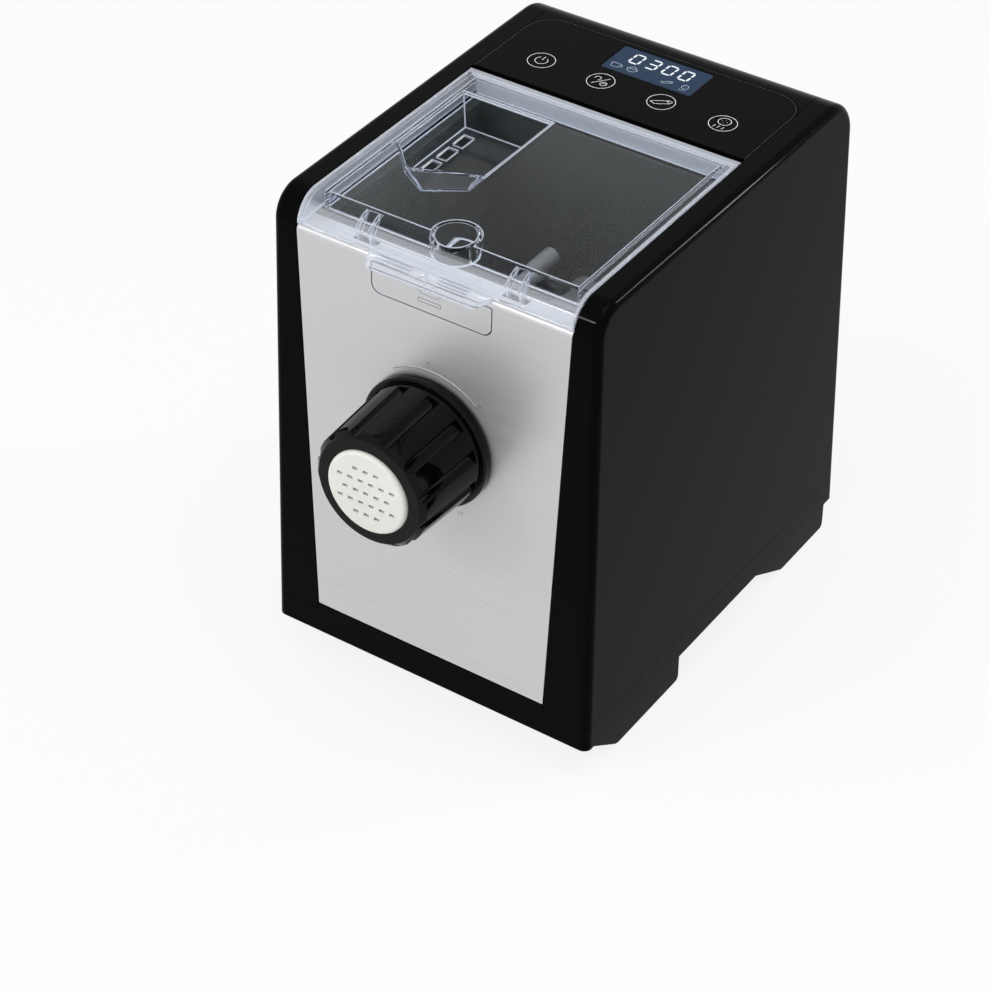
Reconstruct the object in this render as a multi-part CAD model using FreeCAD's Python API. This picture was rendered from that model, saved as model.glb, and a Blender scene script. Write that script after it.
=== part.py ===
import FreeCAD, Part
import math
import os
from FreeCAD import Vector

# Electric pasta maker, all sizes in millimetres.
# While it is drawn, X is across the machine, Y runs from the front face (0) to the back, Z is up
# from the table. save() moves every piece so that the origin is the middle of the machine's
# footprint box, on the table.

# Overall housing
body_width = 212.0
body_depth = 277.0
body_height = 311.0
arch_height = 24.0
seam_height = 40.0
top_inset = 4.5
front_lean = 6.0
rear_lean = 11.0
wall = 2.5
gap = 0.3
front_corner_radius = 18.0
rear_corner_radius = 24.0
outer_edge_radius = 5.0

# Steel front and the opening between the two side shells
low_margin = 29.2
top_margin = 19.0
front_opening_bottom = body_width - 2 * low_margin
front_opening_top = body_width - 2 * top_margin
panel_bottom = 45.0
panel_drop = 15.0
panel_top = body_height - panel_drop
panel_thickness = 1.0
panel_bend_radius = 4.0
panel_shelf_depth = 14.0
panel_reveal = 0.7
bulkhead_reveal = 1.2
rib_inset = 14.0
collar_seat_wall = 3.5
hook_slot_x = front_opening_top / 2.0 - 40.5
hook_slot_size = (15.0, 5.0)
hook_slot_margin = 2.5
hook_play = 0.8
hook_thickness = 2.6
hook_drop = 4.5

# Release button let into the steel
button_width = front_opening_top - 99.0
button_height = 23.0
button_bottom = panel_top - button_height
button_corner = 6.0
button_top_corner = 1.0
button_surround = 3.0
button_room = 1.0
button_thickness = 2.0
button_stem = 6.0
button_pocket_back = 12.5
button_travel = 2.5

# Feet
foot_width = 24.0
foot_inset = 3.0
front_foot = (3.0, 37.0, 103.0)
rear_foot = (body_depth - 99.0, body_depth - 55.0, body_depth - 5.0)
foot_slope_radius = 8.0
foot_heel_radius = 3.0
pad_height = 3.0
pad_proud = 1.5
pad_radius = 8.0
pad_inset = 8.0
pad_chamfer = 0.8
pad_seat = 2.5
tray_post_inset = 44.0
tray_post_front = 20.0
tray_post_rear = body_depth - 32.0
tray_post_radius = 5.0
pilot_radius = 1.7
tray_vents = 7
tray_vent_front = 70.0
tray_vent_pitch = 12.0
tray_vent_size = (56.0, 4.0)

# Lid and its water pocket
control_rear = body_depth - 36.0
control_front = control_rear - 69.2
lid_joint = 1.8
lid_rear = control_front - lid_joint
lid_thickness = 2.5
lid_bottom = panel_top + 0.6
lid_side_gap = 0.7
skirt_half_width = front_opening_top / 2.0 - 7.5
skirt_front = 22.5
skirt_rear = lid_rear - 6.5
skirt_bottom = panel_top + 3.0
skirt_wall = 2.0
pocket_left = 2.5 - skirt_half_width
pocket_rear = lid_rear - 23.0
pocket_outline = ((0.0, -64.5), (0.0, 0.0), (61.0, 0.0), (61.0, -68.0), (20.0, -84.0))
pocket_floor = ((4.0, -62.0), (4.0, -4.0), (43.0, -4.0), (43.0, -57.0), (22.0, -72.0))
pocket_bottom = body_height - 22.0
pocket_wall = 1.8
pocket_slot_count = 3
pocket_slot_pitch = 15.5
pocket_slot_size = (6.0, 11.0)
pocket_slot_left = 9.0
pocket_slot_middle = 33.0
boss_radius = 13.5
boss_depth = panel_drop - 4.0
boss_wall = 2.0
boss_setback = 6.0
tab_half_left = hook_slot_x - 10.5
tab_half_right = hook_slot_x - 14.5
tab_root = hook_slot_x - 6.5
tab_reach = 10.0
tab_drop = 4.0
tab_thickness = 2.6
tab_rise = 3.0
tab_ribs = 4
tab_rib_first = 1.6
tab_rib_pitch = 1.8
tab_rib_width = 0.7
tab_rib_proud = 0.35
hook_rib_width = 1.6
hook_rib_spread = 4.0
lid_rear_round = 3.0
hinge_drop = 5.0
hinge_inset = 4.0
hinge_pin_radius = 2.0
hinge_pin_length = 4.5
socket_width = 6.0
socket_half_depth = 5.0
socket_height = 8.0

# Control panel and display
control_thickness = 3.0
control_corner = 18.0
control_skirt_half = front_opening_top / 2.0 - 9.0
display_size = (58.0, 27.0)
display_corner = 1.0
display_centre_y = control_rear - 17.0
icon_y = control_rear - 44.5
icon_pitch = 39.0
icon_count = 4
board_thickness = 1.6
board_drop = 9.0
board_half = front_opening_top / 2.0 - 21.0
board_post = 3.0
touch_spring_radius = 4.5
touch_spring_wall = 1.2

# Inlet for the mains lead
gland_radius = 7.0
gland_inset = 16.3
gland_z = 84.0
gland_bore = 4.0
gland_flange = 2.0
gland_proud = 1.6
gland_depth = 3.0

# Back wall
vent_rows = 9
vent_bottom = 84.0
vent_pitch = 9.0
vent_height = 4.0
vent_inner = 10.0
vent_outer = front_opening_bottom / 2.0 - 18.8
rear_screw_low = 60.0
rear_screw_high = body_height - 41.0
rear_screw_inset = 12.0
rear_boss_radius = 4.5
rear_boss_depth = 12.0
screw_sink = 6.0
screw_sink_radius = 3.8
screw_play = 0.1
rear_screw_radius = 1.7
rear_screw_head = 3.4
rear_screw_length = 9.0
screw_head_height = 2.0

# Mixing chamber
axis_height = body_height - 117.0
chamber_front = 22.0
chamber_rear = lid_rear - 3.0
chamber_wall = 2.0
chamber_top_half = front_opening_top / 2.0 - 7.0
chamber_bottom_half = chamber_top_half - 19.0
chamber_bottom = axis_height - 61.0
chamber_top = panel_top - 2.0
chamber_corner = chamber_bottom_half - 9.0
chamber_rim = 5.0
ledge_thickness = 3.0
ledge_front = 60.0
ledge_rear = chamber_rear - 37.0

# Extrusion tube, die and locking ring
tube_bore = 20.0
tube_outer = 26.0
tube_front = -44.0
tube_collar = tube_outer + 5.0
collar_thickness = 6.7
spigot_step = 2.0
lug_reach = 3.2
lug_count = 3
lug_span = 30.0
lug_y = (-22.0, -17.0)
lug_play = 0.4
ring_clearance = 0.6
ring_base = tube_outer + 11.0
ring_front = tube_outer + 9.0
ring_flange = tube_outer + 13.7
ring_flange_thickness = 5.0
ring_nose = -52.0
ring_back = 2.2
ring_chamfer = 3.0
ring_opening = tube_outer - 0.6
ring_flutes = 12
flute_radius = 4.6
flute_depth = 2.3
flute_margin = 3.5
ring_turn = 60.0
disc_flange = tube_outer + 1.6
disc_neck = ring_opening - 0.4
disc_front = -54.5
disc_flange_thickness = 3.5
disc_rim_round = 2.2
disc_rows = 5
disc_row_pitch = 7.0
disc_slot_pitch = 6.6
disc_slot_size = (3.2, 1.8)
disc_slot_reach = 18.5

# Extrusion screw
screw_clearance = 0.6
screw_core = 7.0
screw_pitch = 25.0
screw_turns = 3.0
screw_front = -40.0
flight_thickness = 3.6
flight_flare = 0.8
socket_floor = 2.0
screw_hub = 12.0
screw_hub_end = 58.0
screw_tip = 2.0
screw_tip_length = 3.0

# Mixing paddle
paddle_start = screw_hub_end + gap
paddle_end = chamber_rear - 6.0
paddle_hub = 13.0
paddle_reach = 56.0
paddle_bar = 5.0
paddle_arm_inset = 12.0
paddle_bar_inset = 4.0
paddle_bar_overlap = 10.0
paddle_round_end = 10.0

# Drive shaft and gear train
shaft_flats = 12.0
shaft_radius = 7.5
hex_play = 0.25
gear_width = 12.0
gear_y = chamber_rear + 15.0
output_teeth = 56
output_module = 1.25
small_teeth = 14
big_teeth = 50
motor_module = 1.0
pinion_teeth = 10
stage_gap = 3.0
second_width = 8.0
axle_radius = 4.0
running = 0.06
tooth_depth = 1.25
tooth_tip = 0.12
tooth_root = 0.33
gearbox_front = chamber_rear + 5.5
gearbox_back = chamber_rear + 43.0
gearbox_wall = 3.0
gearbox_half = 42.0
gearbox_foot_half = 30.0
gearbox_shoulder = 30.0
gearbox_foot_drop = 14.0
gearbox_radii = (20.0, 8.0, 10.0, 10.0, 8.0, 20.0)
gearbox_boss = 4.5
gearbox_screw_radius = 1.55
gearbox_screw_head = 3.2
gearbox_screw_length = 14.0
gearbox_split_gap = 2.0
joint_gap = 0.05
gear_side_gap = 0.6
boss_wall_thickness = 3.0
rear_bush_proud = 4.0
bracket_thickness = 2.5
bracket_half = 46.0
bracket_foot = 26.0
bracket_gusset = 60.0
bracket_hole = 2.2
bracket_hole_x = 30.0
bracket_y = chamber_rear + 0.6
spacer_inset = 4.0
spacer_wall = 3.0
bush_outer = 11.0
bush_wall_step = 4.0
seal_outer = 13.0
seal_lip = 3.0
seal_lip_height = 1.6
seal_squeeze = 0.05
seal_play = 0.1
wheel_holes = 6
wheel_hole_radius = 7.0
wheel_hole_circle = 20.0

# Motor and fan
motor_radius = 31.0
motor_length = 42.0
motor_shaft_radius = 3.0
motor_seat_radius = 12.0
motor_nose_radius = 8.0
motor_nose_length = 2.0
motor_rim_chamfer = 2.5
motor_slots = 8
motor_slot_width = 5.0
motor_slot_depth = 3.0
motor_slot_inset = 12.0
motor_gap = 2.0
pinion_overhang = 1.0
fan_radius = 28.0
fan_blades = 7
fan_width = 7.0
fan_gap = 3.0
fan_hub_radius = 9.0
fan_blade_thickness = 1.6
fan_blade_angle = 25.0
shaft_tail = 11.0

# Mains board
power_board_box = (-60.0, 20.0, 60.0, 150.0)
power_board_lift = 4.0
power_board_post = 2.5
power_board_post_inset = 4.0
square_parts = (
    (-50.0, 72.0, 26.0, 22.0, 20.0),
    (-14.0, 70.0, 14.0, 18.0, 16.0),
    (-50.0, 110.0, 18.0, 28.0, 12.0),
)
round_parts = ((-16.0, 110.0, 6.0, 22.0), (0.0, 110.0, 6.0, 22.0), (-8.0, 132.0, 5.0, 14.0))

# Lid switch
switch_x = hook_slot_x + hook_rib_spread
switch_lead = 4.1
switch_size = (13.0, 9.5, 15.0)
switch_bottom = panel_top - 23.0
switch_floor = 3.0
shelf_margin = 1.0
plunger_radius = 2.0

# Overlap that joins two bodies into one, and the run of a cut past its surface
bite = 0.5
past = 1.0

height_run = body_height - arch_height
nozzle_reach = -disc_front
origin_shift = -(body_depth - nozzle_reach) / 2.0
middle = Vector(0, 0, axis_height)
forward = Vector(0, -1, 0)
back = Vector(0, 1, 0)


def front_y(z):
    return front_lean * (z - arch_height) / height_run


def rear_y(z):
    return body_depth - rear_lean * (z - arch_height) / height_run


def side_x(z):
    return body_width / 2.0 - top_inset * (z - arch_height) / height_run


def opening_x(z):
    slope = (front_opening_top - front_opening_bottom) / (body_height - panel_bottom)
    return (front_opening_bottom + slope * (z - panel_bottom)) / 2.0


def rounded(points, radii):
    """Closed outline in two numbers per point, with an arc of the given radius at each corner."""
    edges = []
    ends = []
    count = len(points)
    for i in range(count):
        before = Vector(*points[i - 1])
        here = Vector(*points[i])
        after = Vector(*points[(i + 1) % count])
        to_before = (before - here).normalize()
        to_after = (after - here).normalize()
        if radii[i] <= 0:
            ends.append((here, None, here))
            continue
        angle = to_before.getAngle(to_after)
        run = radii[i] / math.tan(angle / 2.0)
        centre = here + (to_before + to_after).normalize() * (radii[i] / math.sin(angle / 2.0))
        middle_point = centre + (here - centre).normalize() * radii[i]
        ends.append((here + to_before * run, middle_point, here + to_after * run))
    for i in range(count):
        start, mid, finish = ends[i]
        if mid is not None:
            edges.append(Part.Arc(start, mid, finish).toShape())
        next_start = ends[(i + 1) % count][0]
        if (next_start - finish).Length > 1e-6:
            edges.append(Part.makeLine(finish, next_start))
    return Part.Wire(edges)


def turned(wire, kind):
    """Stands a flat outline up: 'yz' puts its numbers on Y and Z, 'xz' on X and Z."""
    matrix = FreeCAD.Matrix()
    if kind == "yz":
        matrix = FreeCAD.Matrix(0, 0, 1, 0, 1, 0, 0, 0, 0, 1, 0, 0, 0, 0, 0, 1)
    if kind == "xz":
        matrix = FreeCAD.Matrix(1, 0, 0, 0, 0, 0, -1, 0, 0, 1, 0, 0, 0, 0, 0, 1)
    moved = wire.copy()
    moved.transformShape(matrix)
    return moved


def plate(points, radii, kind, start, end):
    """Outline pushed from start to end: along X for 'yz', along Y for 'xz', along Z for 'xy'."""
    wire = turned(rounded(points, radii), kind)
    along = {"yz": Vector(1, 0, 0), "xz": Vector(0, 1, 0), "xy": Vector(0, 0, 1)}[kind]
    wire.translate(along * start)
    return Part.Face(wire).extrude(along * (end - start))


def block(x0, x1, y0, y1, z0, z1):
    return Part.makeBox(x1 - x0, y1 - y0, z1 - z0, Vector(x0, y0, z0))


def rod(radius, x, z, y0, y1):
    return Part.makeCylinder(radius, y1 - y0, Vector(x, y0, z), back)


def upright(radius, x, y, z0, z1):
    return Part.makeCylinder(radius, z1 - z0, Vector(x, y, z0))


def rectangle_at(x0, x1, y0, y1, z):
    corners = [Vector(x0, y0, z), Vector(x1, y0, z), Vector(x1, y1, z), Vector(x0, y1, z)]
    return Part.makePolygon(corners + corners[:1])


def wedge(x_low, x_high, z0, z1):
    """Tall block between two leaning faces; x_low and x_high give X from the height."""
    far = body_depth + 60.0
    lower = rectangle_at(x_low(z0), x_high(z0), -60.0, far, z0)
    upper = rectangle_at(x_low(z1), x_high(z1), -60.0, far, z1)
    return Part.makeLoft([lower, upper], True, True)


def body_profile(inset, z_low):
    """Side view of the housing, moved inwards by inset, with its open end at z_low."""
    top = body_height - inset
    points = [
        (front_y(z_low) + inset, z_low),
        (rear_y(z_low) - inset, z_low),
        (rear_y(top) - inset, top),
        (front_y(top) + inset, top),
    ]
    radii = [0, 0, max(rear_corner_radius - inset, 0.5), max(front_corner_radius - inset, 0.5)]
    return points, radii


def body_slab(inset, z_low, x0, x1):
    points, radii = body_profile(inset, z_low)
    return plate(points, radii, "yz", x0, x1)


def side_shell():
    """Right side wall with its front, top and rear margins turned in; open inside and below."""
    z0 = seam_height + gap
    reach = body_width / 2.0 + 5.0
    solid = body_slab(0.0, z0, 0.0, reach)
    solid = solid.common(wedge(opening_x, side_x, 0.0, body_height + 20.0))
    outer = []
    for edge in solid.Edges:
        box = edge.BoundBox
        close = abs(box.XMax - side_x(box.ZMin)) < 0.2 and abs(box.XMin - side_x(box.ZMax)) < 0.2
        if close and box.ZMax > z0 + 1.0:
            outer.append(edge)
    solid = solid.makeFillet(outer_edge_radius, outer)
    hollow = body_slab(wall, z0 - 5.0, 0.0, reach)
    hollow = hollow.common(wedge(lambda z: opening_x(z) - 3 * wall, lambda z: side_x(z) - wall,
                                 0.0, body_height + 20.0))
    shell = solid.cut(hollow)
    ledge_top = chamber_top - chamber_wall - gap
    ledge = block(chamber_top_half + 3.0, side_x(ledge_top) - wall + bite,
                  ledge_front, ledge_rear, ledge_top - ledge_thickness, ledge_top)
    boss, bore = hinge_socket()
    return shell.fuse(ledge).fuse(boss).cut(bore).removeSplitter()


def foot_block(side, foot, inset, z_top):
    """One foot: a slope up to the flat, the flat, and a straight back."""
    start, flat, end = foot
    outer = body_width / 2.0 - foot_inset - inset
    inner = body_width / 2.0 - foot_inset - foot_width + inset
    low = pad_proud + inset
    points = [(start + inset, z_top), (flat + inset, low), (end - inset, low), (end - inset, z_top)]
    x0, x1 = (inner, outer) if side > 0 else (-outer, -inner)
    return plate(points, [0, foot_slope_radius, foot_heel_radius, 0], "yz", x0, x1)


def base_tray():
    """Bottom pan: floor, rim, four hollow feet and a low front sill under the steel."""
    half = body_width / 2.0
    solid = block(-half - 5, half + 5, -10.0, body_depth + 10.0, arch_height, seam_height)
    sides = wedge(lambda z: -side_x(z), side_x, 0.0, 80.0)
    solid = solid.common(body_slab(0.0, 0.0, -half - 5, half + 5)).common(sides)
    corners = [edge for edge in solid.Edges
               if edge.BoundBox.ZLength > 10.0 and abs(edge.BoundBox.XMax) > half - 3.0]
    solid = solid.makeFillet(outer_edge_radius, corners)
    hollow = block(-half + wall, half - wall, wall, body_depth - wall - 0.5,
                   arch_height + wall, seam_height + 1.0)
    tray = solid.cut(hollow)
    for side in (-1, 1):
        for foot in (front_foot, rear_foot):
            tray = tray.fuse(foot_block(side, foot, 0.0, arch_height + 1.0))
    for side in (-1, 1):
        for foot in (front_foot, rear_foot):
            tray = tray.cut(foot_block(side, foot, wall, arch_height + wall + 1.0))
    for x, y in foot_pad_places():
        tray = tray.cut(upright(pad_radius + gap, x, y, 0.0, pad_height))
        seat = upright(pad_radius + pad_seat, x, y, pad_height, pad_height + wall)
        tray = tray.fuse(seat)
    sill_half = opening_x(seam_height) - gap
    sill = block(-sill_half, sill_half, 0.0, wall, seam_height - past, panel_bottom - panel_reveal)
    sill.translate(Vector(0, front_y(seam_height), 0))
    tray = tray.fuse(sill)
    for x, y in tray_post_places():
        tray = tray.fuse(upright(tray_post_radius, x, y, arch_height + past, seam_height + 8.0))
        tray = tray.cut(upright(pilot_radius, x, y, arch_height + 2 * wall, seam_height + 9.0))
    length, width = tray_vent_size
    for row in range(tray_vents):
        y = tray_vent_front + row * tray_vent_pitch
        tray = tray.cut(block(-length / 2.0, length / 2.0, y, y + width, arch_height - past,
                              arch_height + wall + past))
    return tray.removeSplitter()


def foot_pad_places():
    x = body_width / 2.0 - foot_inset - foot_width / 2.0
    places = []
    for foot in (front_foot, rear_foot):
        y = foot[2] - pad_radius - pad_inset
        places += [(-x, y), (x, y)]
    return places


def tray_post_places():
    x = body_width / 2.0 - tray_post_inset
    return [(-x, tray_post_front), (x, tray_post_front), (-x, tray_post_rear), (x, tray_post_rear)]


def rubber_feet():
    pads = []
    for x, y in foot_pad_places():
        pad = upright(pad_radius, x, y, 0.0, pad_height)
        low = [edge for edge in pad.Edges if edge.BoundBox.ZMax < 0.1]
        pads.append(pad.makeChamfer(pad_chamfer, low))
    return Part.makeCompound(pads)


def panel_sheet(inset, thickness, z_low, extra):
    """Bent sheet seen from the side: the front face, its top bend and the shelf behind it."""
    top = panel_top - inset
    rear = front_y(panel_top) + panel_shelf_depth + extra
    points = [
        (front_y(z_low) + inset, z_low),
        (front_y(z_low) + inset + thickness, z_low),
        (front_y(top) + inset + thickness, top - thickness),
        (rear, top - thickness),
        (rear, top),
        (front_y(top) + inset, top),
    ]
    radii = [0, 0, panel_bend_radius - thickness, 0, 0, panel_bend_radius]
    return plate(points, radii, "yz", -body_width / 2.0, body_width / 2.0)


def button_outline(play):
    half = button_width / 2.0 + play
    low = button_bottom - play
    high = panel_top - panel_bend_radius - 1.0 + play
    return [(-half, low), (half, low), (half, high), (-half, high)]


def button_radii(play):
    return [button_corner + play, button_corner + play, button_top_corner, button_top_corner]


def front_panel():
    """Brushed steel front with its curled top, nozzle hole, button window and hook slots."""
    sheet = panel_sheet(0.0, panel_thickness, panel_bottom, 0.0)
    trim = wedge(lambda z: -opening_x(z) + panel_reveal, lambda z: opening_x(z) - panel_reveal,
                 0.0, body_height)
    sheet = sheet.common(trim)
    sheet = sheet.cut(rod(tube_outer + 1.0, 0.0, axis_height, -20.0, 30.0))
    sheet = sheet.cut(plate(button_outline(gap), button_radii(0.0), "xz", -5.0, 15.0))
    slot_x, slot_y = hook_slot_size
    y = hook_y() - hook_play
    for side in (-1, 1):
        x = side * hook_slot_x
        slot = block(x - slot_x / 2.0, x + slot_x / 2.0, y, y + slot_y, panel_top - 3.0, panel_top + 2.0)
        sheet = sheet.cut(slot)
    return sheet


def front_bulkhead():
    """Plastic wall behind the steel: it carries the sheet, the tube's collar and the button."""
    depth = panel_thickness + gap
    low = arch_height + wall + gap
    top = panel_top - panel_thickness - gap
    points = [
        (front_y(low) + wall + gap, low),
        (front_y(low) + wall + gap + wall, low),
        (front_y(panel_bottom) + depth + wall + 2.0, panel_bottom),
        (front_y(top) + depth + wall, top - wall),
        (front_y(top) + panel_shelf_depth, top - wall),
        (front_y(top) + panel_shelf_depth, top),
        (front_y(top) + depth, top),
        (front_y(panel_bottom) + depth, panel_bottom),
        (front_y(panel_bottom) + wall + gap, panel_bottom),
    ]
    radii = [0, 0, 0, 0, 0, 0, panel_bend_radius - panel_thickness, 0, 0]
    half = body_width / 2.0
    solid = plate(points, radii, "yz", -half, half)
    trim = wedge(lambda z: -opening_x(z) + bulkhead_reveal, lambda z: opening_x(z) - bulkhead_reveal,
                 0.0, body_height)
    solid = solid.common(trim)
    rib_end = chamber_front - gap
    start = front_y(top) + depth + past
    for side in (-1, 1):
        x = side * (chamber_top_half - rib_inset)
        rib = block(x - wall / 2.0, x + wall / 2.0, start, rib_end, axis_height, top - wall + past)
        solid = solid.fuse(rib)
    solid = solid.fuse(rod(tube_collar + collar_seat_wall, 0.0, axis_height,
                           front_y(axis_height) + depth + past, rib_end))
    solid = solid.cut(rod(tube_collar + gap, 0.0, axis_height, front_y(axis_height) + depth + wall,
                          rib_end + past))
    solid = solid.cut(rod(tube_outer + gap, 0.0, axis_height, -5.0, 30.0))
    solid = solid.fuse(plate(button_outline(button_surround), button_radii(0.0), "xz", start,
                             button_pocket_back + wall))
    solid = solid.cut(plate(button_outline(button_room), button_radii(0.0), "xz", -5.0, button_pocket_back))
    half_shelf = switch_size[0] / 2.0 + shelf_margin
    shelf = block(switch_x - half_shelf, switch_x + half_shelf, start, switch_front() + switch_size[1],
                  switch_bottom - wall - gap, switch_bottom - gap)
    solid = solid.fuse(shelf)
    slot_x, slot_y = hook_slot_size
    y = hook_y() - hook_play
    for side in (-1, 1):
        x = side * hook_slot_x
        solid = solid.cut(block(x - slot_x / 2.0, x + slot_x / 2.0, y, y + slot_y,
                                panel_top - 10.0, panel_top + 2.0))
    return solid.removeSplitter()


def release_button():
    """Press plate flush with the steel, with a hollow guide stem at its back."""
    outline = button_outline(-gap)
    face = plate(outline, button_radii(-gap), "xz", -5.0, 25.0)
    sheet = panel_sheet(0.0, button_thickness, button_bottom - 5.0, 0.0)
    face = face.common(sheet)
    z = (outline[0][1] + outline[2][1]) / 2.0
    end = button_pocket_back - button_travel - button_room
    stem = rod(button_stem, 0.0, z, front_y(z) + button_thickness - bite, end)
    stem = stem.cut(rod(button_stem - 2.0, 0.0, z, front_y(z) + button_thickness + bite, end + past))
    return face.fuse(stem).removeSplitter()


def rear_cover():
    """Back wall rolled over the top edge, with vents, gland hole and screw sinks."""
    z0 = seam_height + gap
    half = body_width / 2.0
    solid = body_slab(0.0, z0, -half, half).cut(body_slab(wall, z0 - 5.0, -half - 5, half + 5))
    trim = wedge(lambda z: -opening_x(z) + gap, lambda z: opening_x(z) - gap, 0.0, body_height + 20.0)
    keep = block(-half, half, control_rear - control_corner, body_depth + 5.0, 0.0, body_height + 5.0)
    opening = plate(control_outline(-gap), control_radii(-gap), "xy", 0.0, body_height + 5.0)
    cover = solid.common(trim).common(keep).cut(opening)
    for row in range(vent_rows):
        z = vent_bottom + row * vent_pitch
        for x0, x1 in ((-vent_outer, -vent_inner), (vent_inner, vent_far_end(z))):
            cover = cover.cut(block(x0, x1, body_depth - 20.0, body_depth + 5.0, z, z + vent_height))
    cover = cover.cut(rod(gland_radius + gap, gland_x(), gland_z, body_depth - 20.0, body_depth + 5.0))
    for x, z in rear_screw_places():
        y = rear_y(z)
        cover = cover.fuse(rod(rear_boss_radius, x, z, y - rear_boss_depth, y - wall + bite))
        cover = cover.cut(rod(rear_screw_radius + screw_play, x, z, y - rear_boss_depth - past, y + wall))
        cover = cover.cut(rod(screw_sink_radius, x, z, y - screw_sink, y + wall))
    return cover.removeSplitter()


def vent_far_end(z):
    """The right-hand slots stop short of the gland where they are level with it."""
    beside = abs(z + vent_height / 2.0 - gland_z) < gland_radius + gland_flange + vent_height
    return gland_x() - gland_radius - gland_flange - wall if beside else vent_outer


def rear_screw_places():
    places = []
    for z in (rear_screw_low, rear_screw_high):
        x = opening_x(z) - rear_screw_inset
        places += [(-x, z), (x, z)]
    return places


def gland_x():
    return opening_x(gland_z) - gland_inset


def cord_gland():
    """Moulded bush in the back wall with a flange on each side of it."""
    x = gland_x()
    z = gland_z
    inner = rear_y(z + gland_radius + gland_flange) - wall - gap
    start = inner - gland_depth
    end = rear_y(z) + gland_proud
    bush = rod(gland_radius, x, z, start, end)
    bush = bush.fuse(rod(gland_radius + gland_flange, x, z, start, inner))
    return bush.cut(rod(gland_bore, x, z, start - past, end + past)).removeSplitter()


def control_outline(play):
    half = opening_x(body_height) - gap - play
    front = control_front + play
    rear = control_rear - play
    return [(-half, front), (half, front), (half, rear), (-half, rear)]


def control_radii(play):
    return [display_corner, display_corner, control_corner - play, control_corner - play]


def control_panel():
    """Glossy top plate with a window for the display and a skirt that meets the chamber."""
    top = body_height
    under = top - control_thickness
    solid = plate(control_outline(0.0), control_radii(0.0), "xy", under, top)
    solid = solid.cut(plate(display_outline(0.0), [display_corner] * 4, "xy", under - past, top + past))
    skirt = block(-control_skirt_half, control_skirt_half, control_front + 1.0, control_front + 1.0 + wall,
                  chamber_top + gap, under + bite)
    solid = solid.fuse(skirt)
    for x in (-board_half + 6.0, board_half - 6.0):
        for y in (control_front + 12.0, control_rear - 8.0):
            solid = solid.fuse(upright(board_post, x, y, under - board_drop, under + bite))
    return solid.removeSplitter()


def display_outline(play):
    half = display_size[0] / 2.0 - play
    low = display_centre_y - display_size[1] / 2.0 + play
    high = display_centre_y + display_size[1] / 2.0 - play
    return [(-half, low), (half, low), (half, high), (-half, high)]


def display_window():
    """Smoked pane let into the top plate."""
    top = body_height - gap
    return plate(display_outline(gap), [display_corner] * 4, "xy", display_low(), top)


def display_low():
    return body_height - gap - control_thickness - wall


def display_board():
    """Circuit board under the top plate, with the display's socket and a chip."""
    top = body_height - control_thickness - board_drop - gap
    low = top - board_thickness
    solid = block(-board_half, board_half, control_front + 8.0, control_rear - 4.0, low, top)
    socket = plate(display_outline(wall), [0] * 4, "xy", top - bite, display_low() - gap)
    chip = block(-6.0, 6.0, icon_y - 6.0, icon_y + 6.0, low - 2.0, low + bite)
    return solid.fuse(socket).fuse(chip).removeSplitter()


def touch_springs():
    """Four short coils that carry each touch mark's signal down to the board."""
    top = body_height - control_thickness - gap
    low = body_height - control_thickness - board_drop
    posts = []
    for i in range(icon_count):
        x = (i - (icon_count - 1) / 2.0) * icon_pitch
        bore = upright(touch_spring_radius - touch_spring_wall, x, icon_y, low - past, top + past)
        posts.append(upright(touch_spring_radius, x, icon_y, low, top).cut(bore))
    return Part.makeCompound(posts)


def hinge_axis_z():
    return body_height - hinge_drop


def hinge_axis_y():
    return lid_rear - hinge_inset


def pocket_prism(inset, z_low, z_high):
    """Water pocket between its outline at the top of the lid and its smaller sloping floor."""
    rings = []
    corner = Vector(pocket_left, pocket_rear, 0)
    for outline, z in ((pocket_floor, z_low), (pocket_outline, z_high)):
        cx = sum(p[0] for p in outline) / len(outline)
        cy = sum(p[1] for p in outline) / len(outline)
        points = []
        for x, y in outline:
            away = Vector(x - cx, y - cy, 0)
            scaled = away * (1.0 + inset / away.Length)
            points.append(corner + Vector(cx + scaled.x, cy + scaled.y, z))
        rings.append(Part.makePolygon(points + points[:1]))
    return Part.makeLoft(rings, True, True)


def lid_slab(inset, z_low, x0, x1):
    """Side view of the lid, moved inwards by inset and open at z_low."""
    top = body_height - inset
    points = [
        (front_y(z_low) + inset, z_low),
        (lid_rear - inset, z_low),
        (lid_rear - inset, top),
        (front_y(top) + inset, top),
    ]
    return plate(points, [0, 0, max(lid_rear_round - inset, 0.5), front_corner_radius - inset], "yz", x0, x1)


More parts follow.
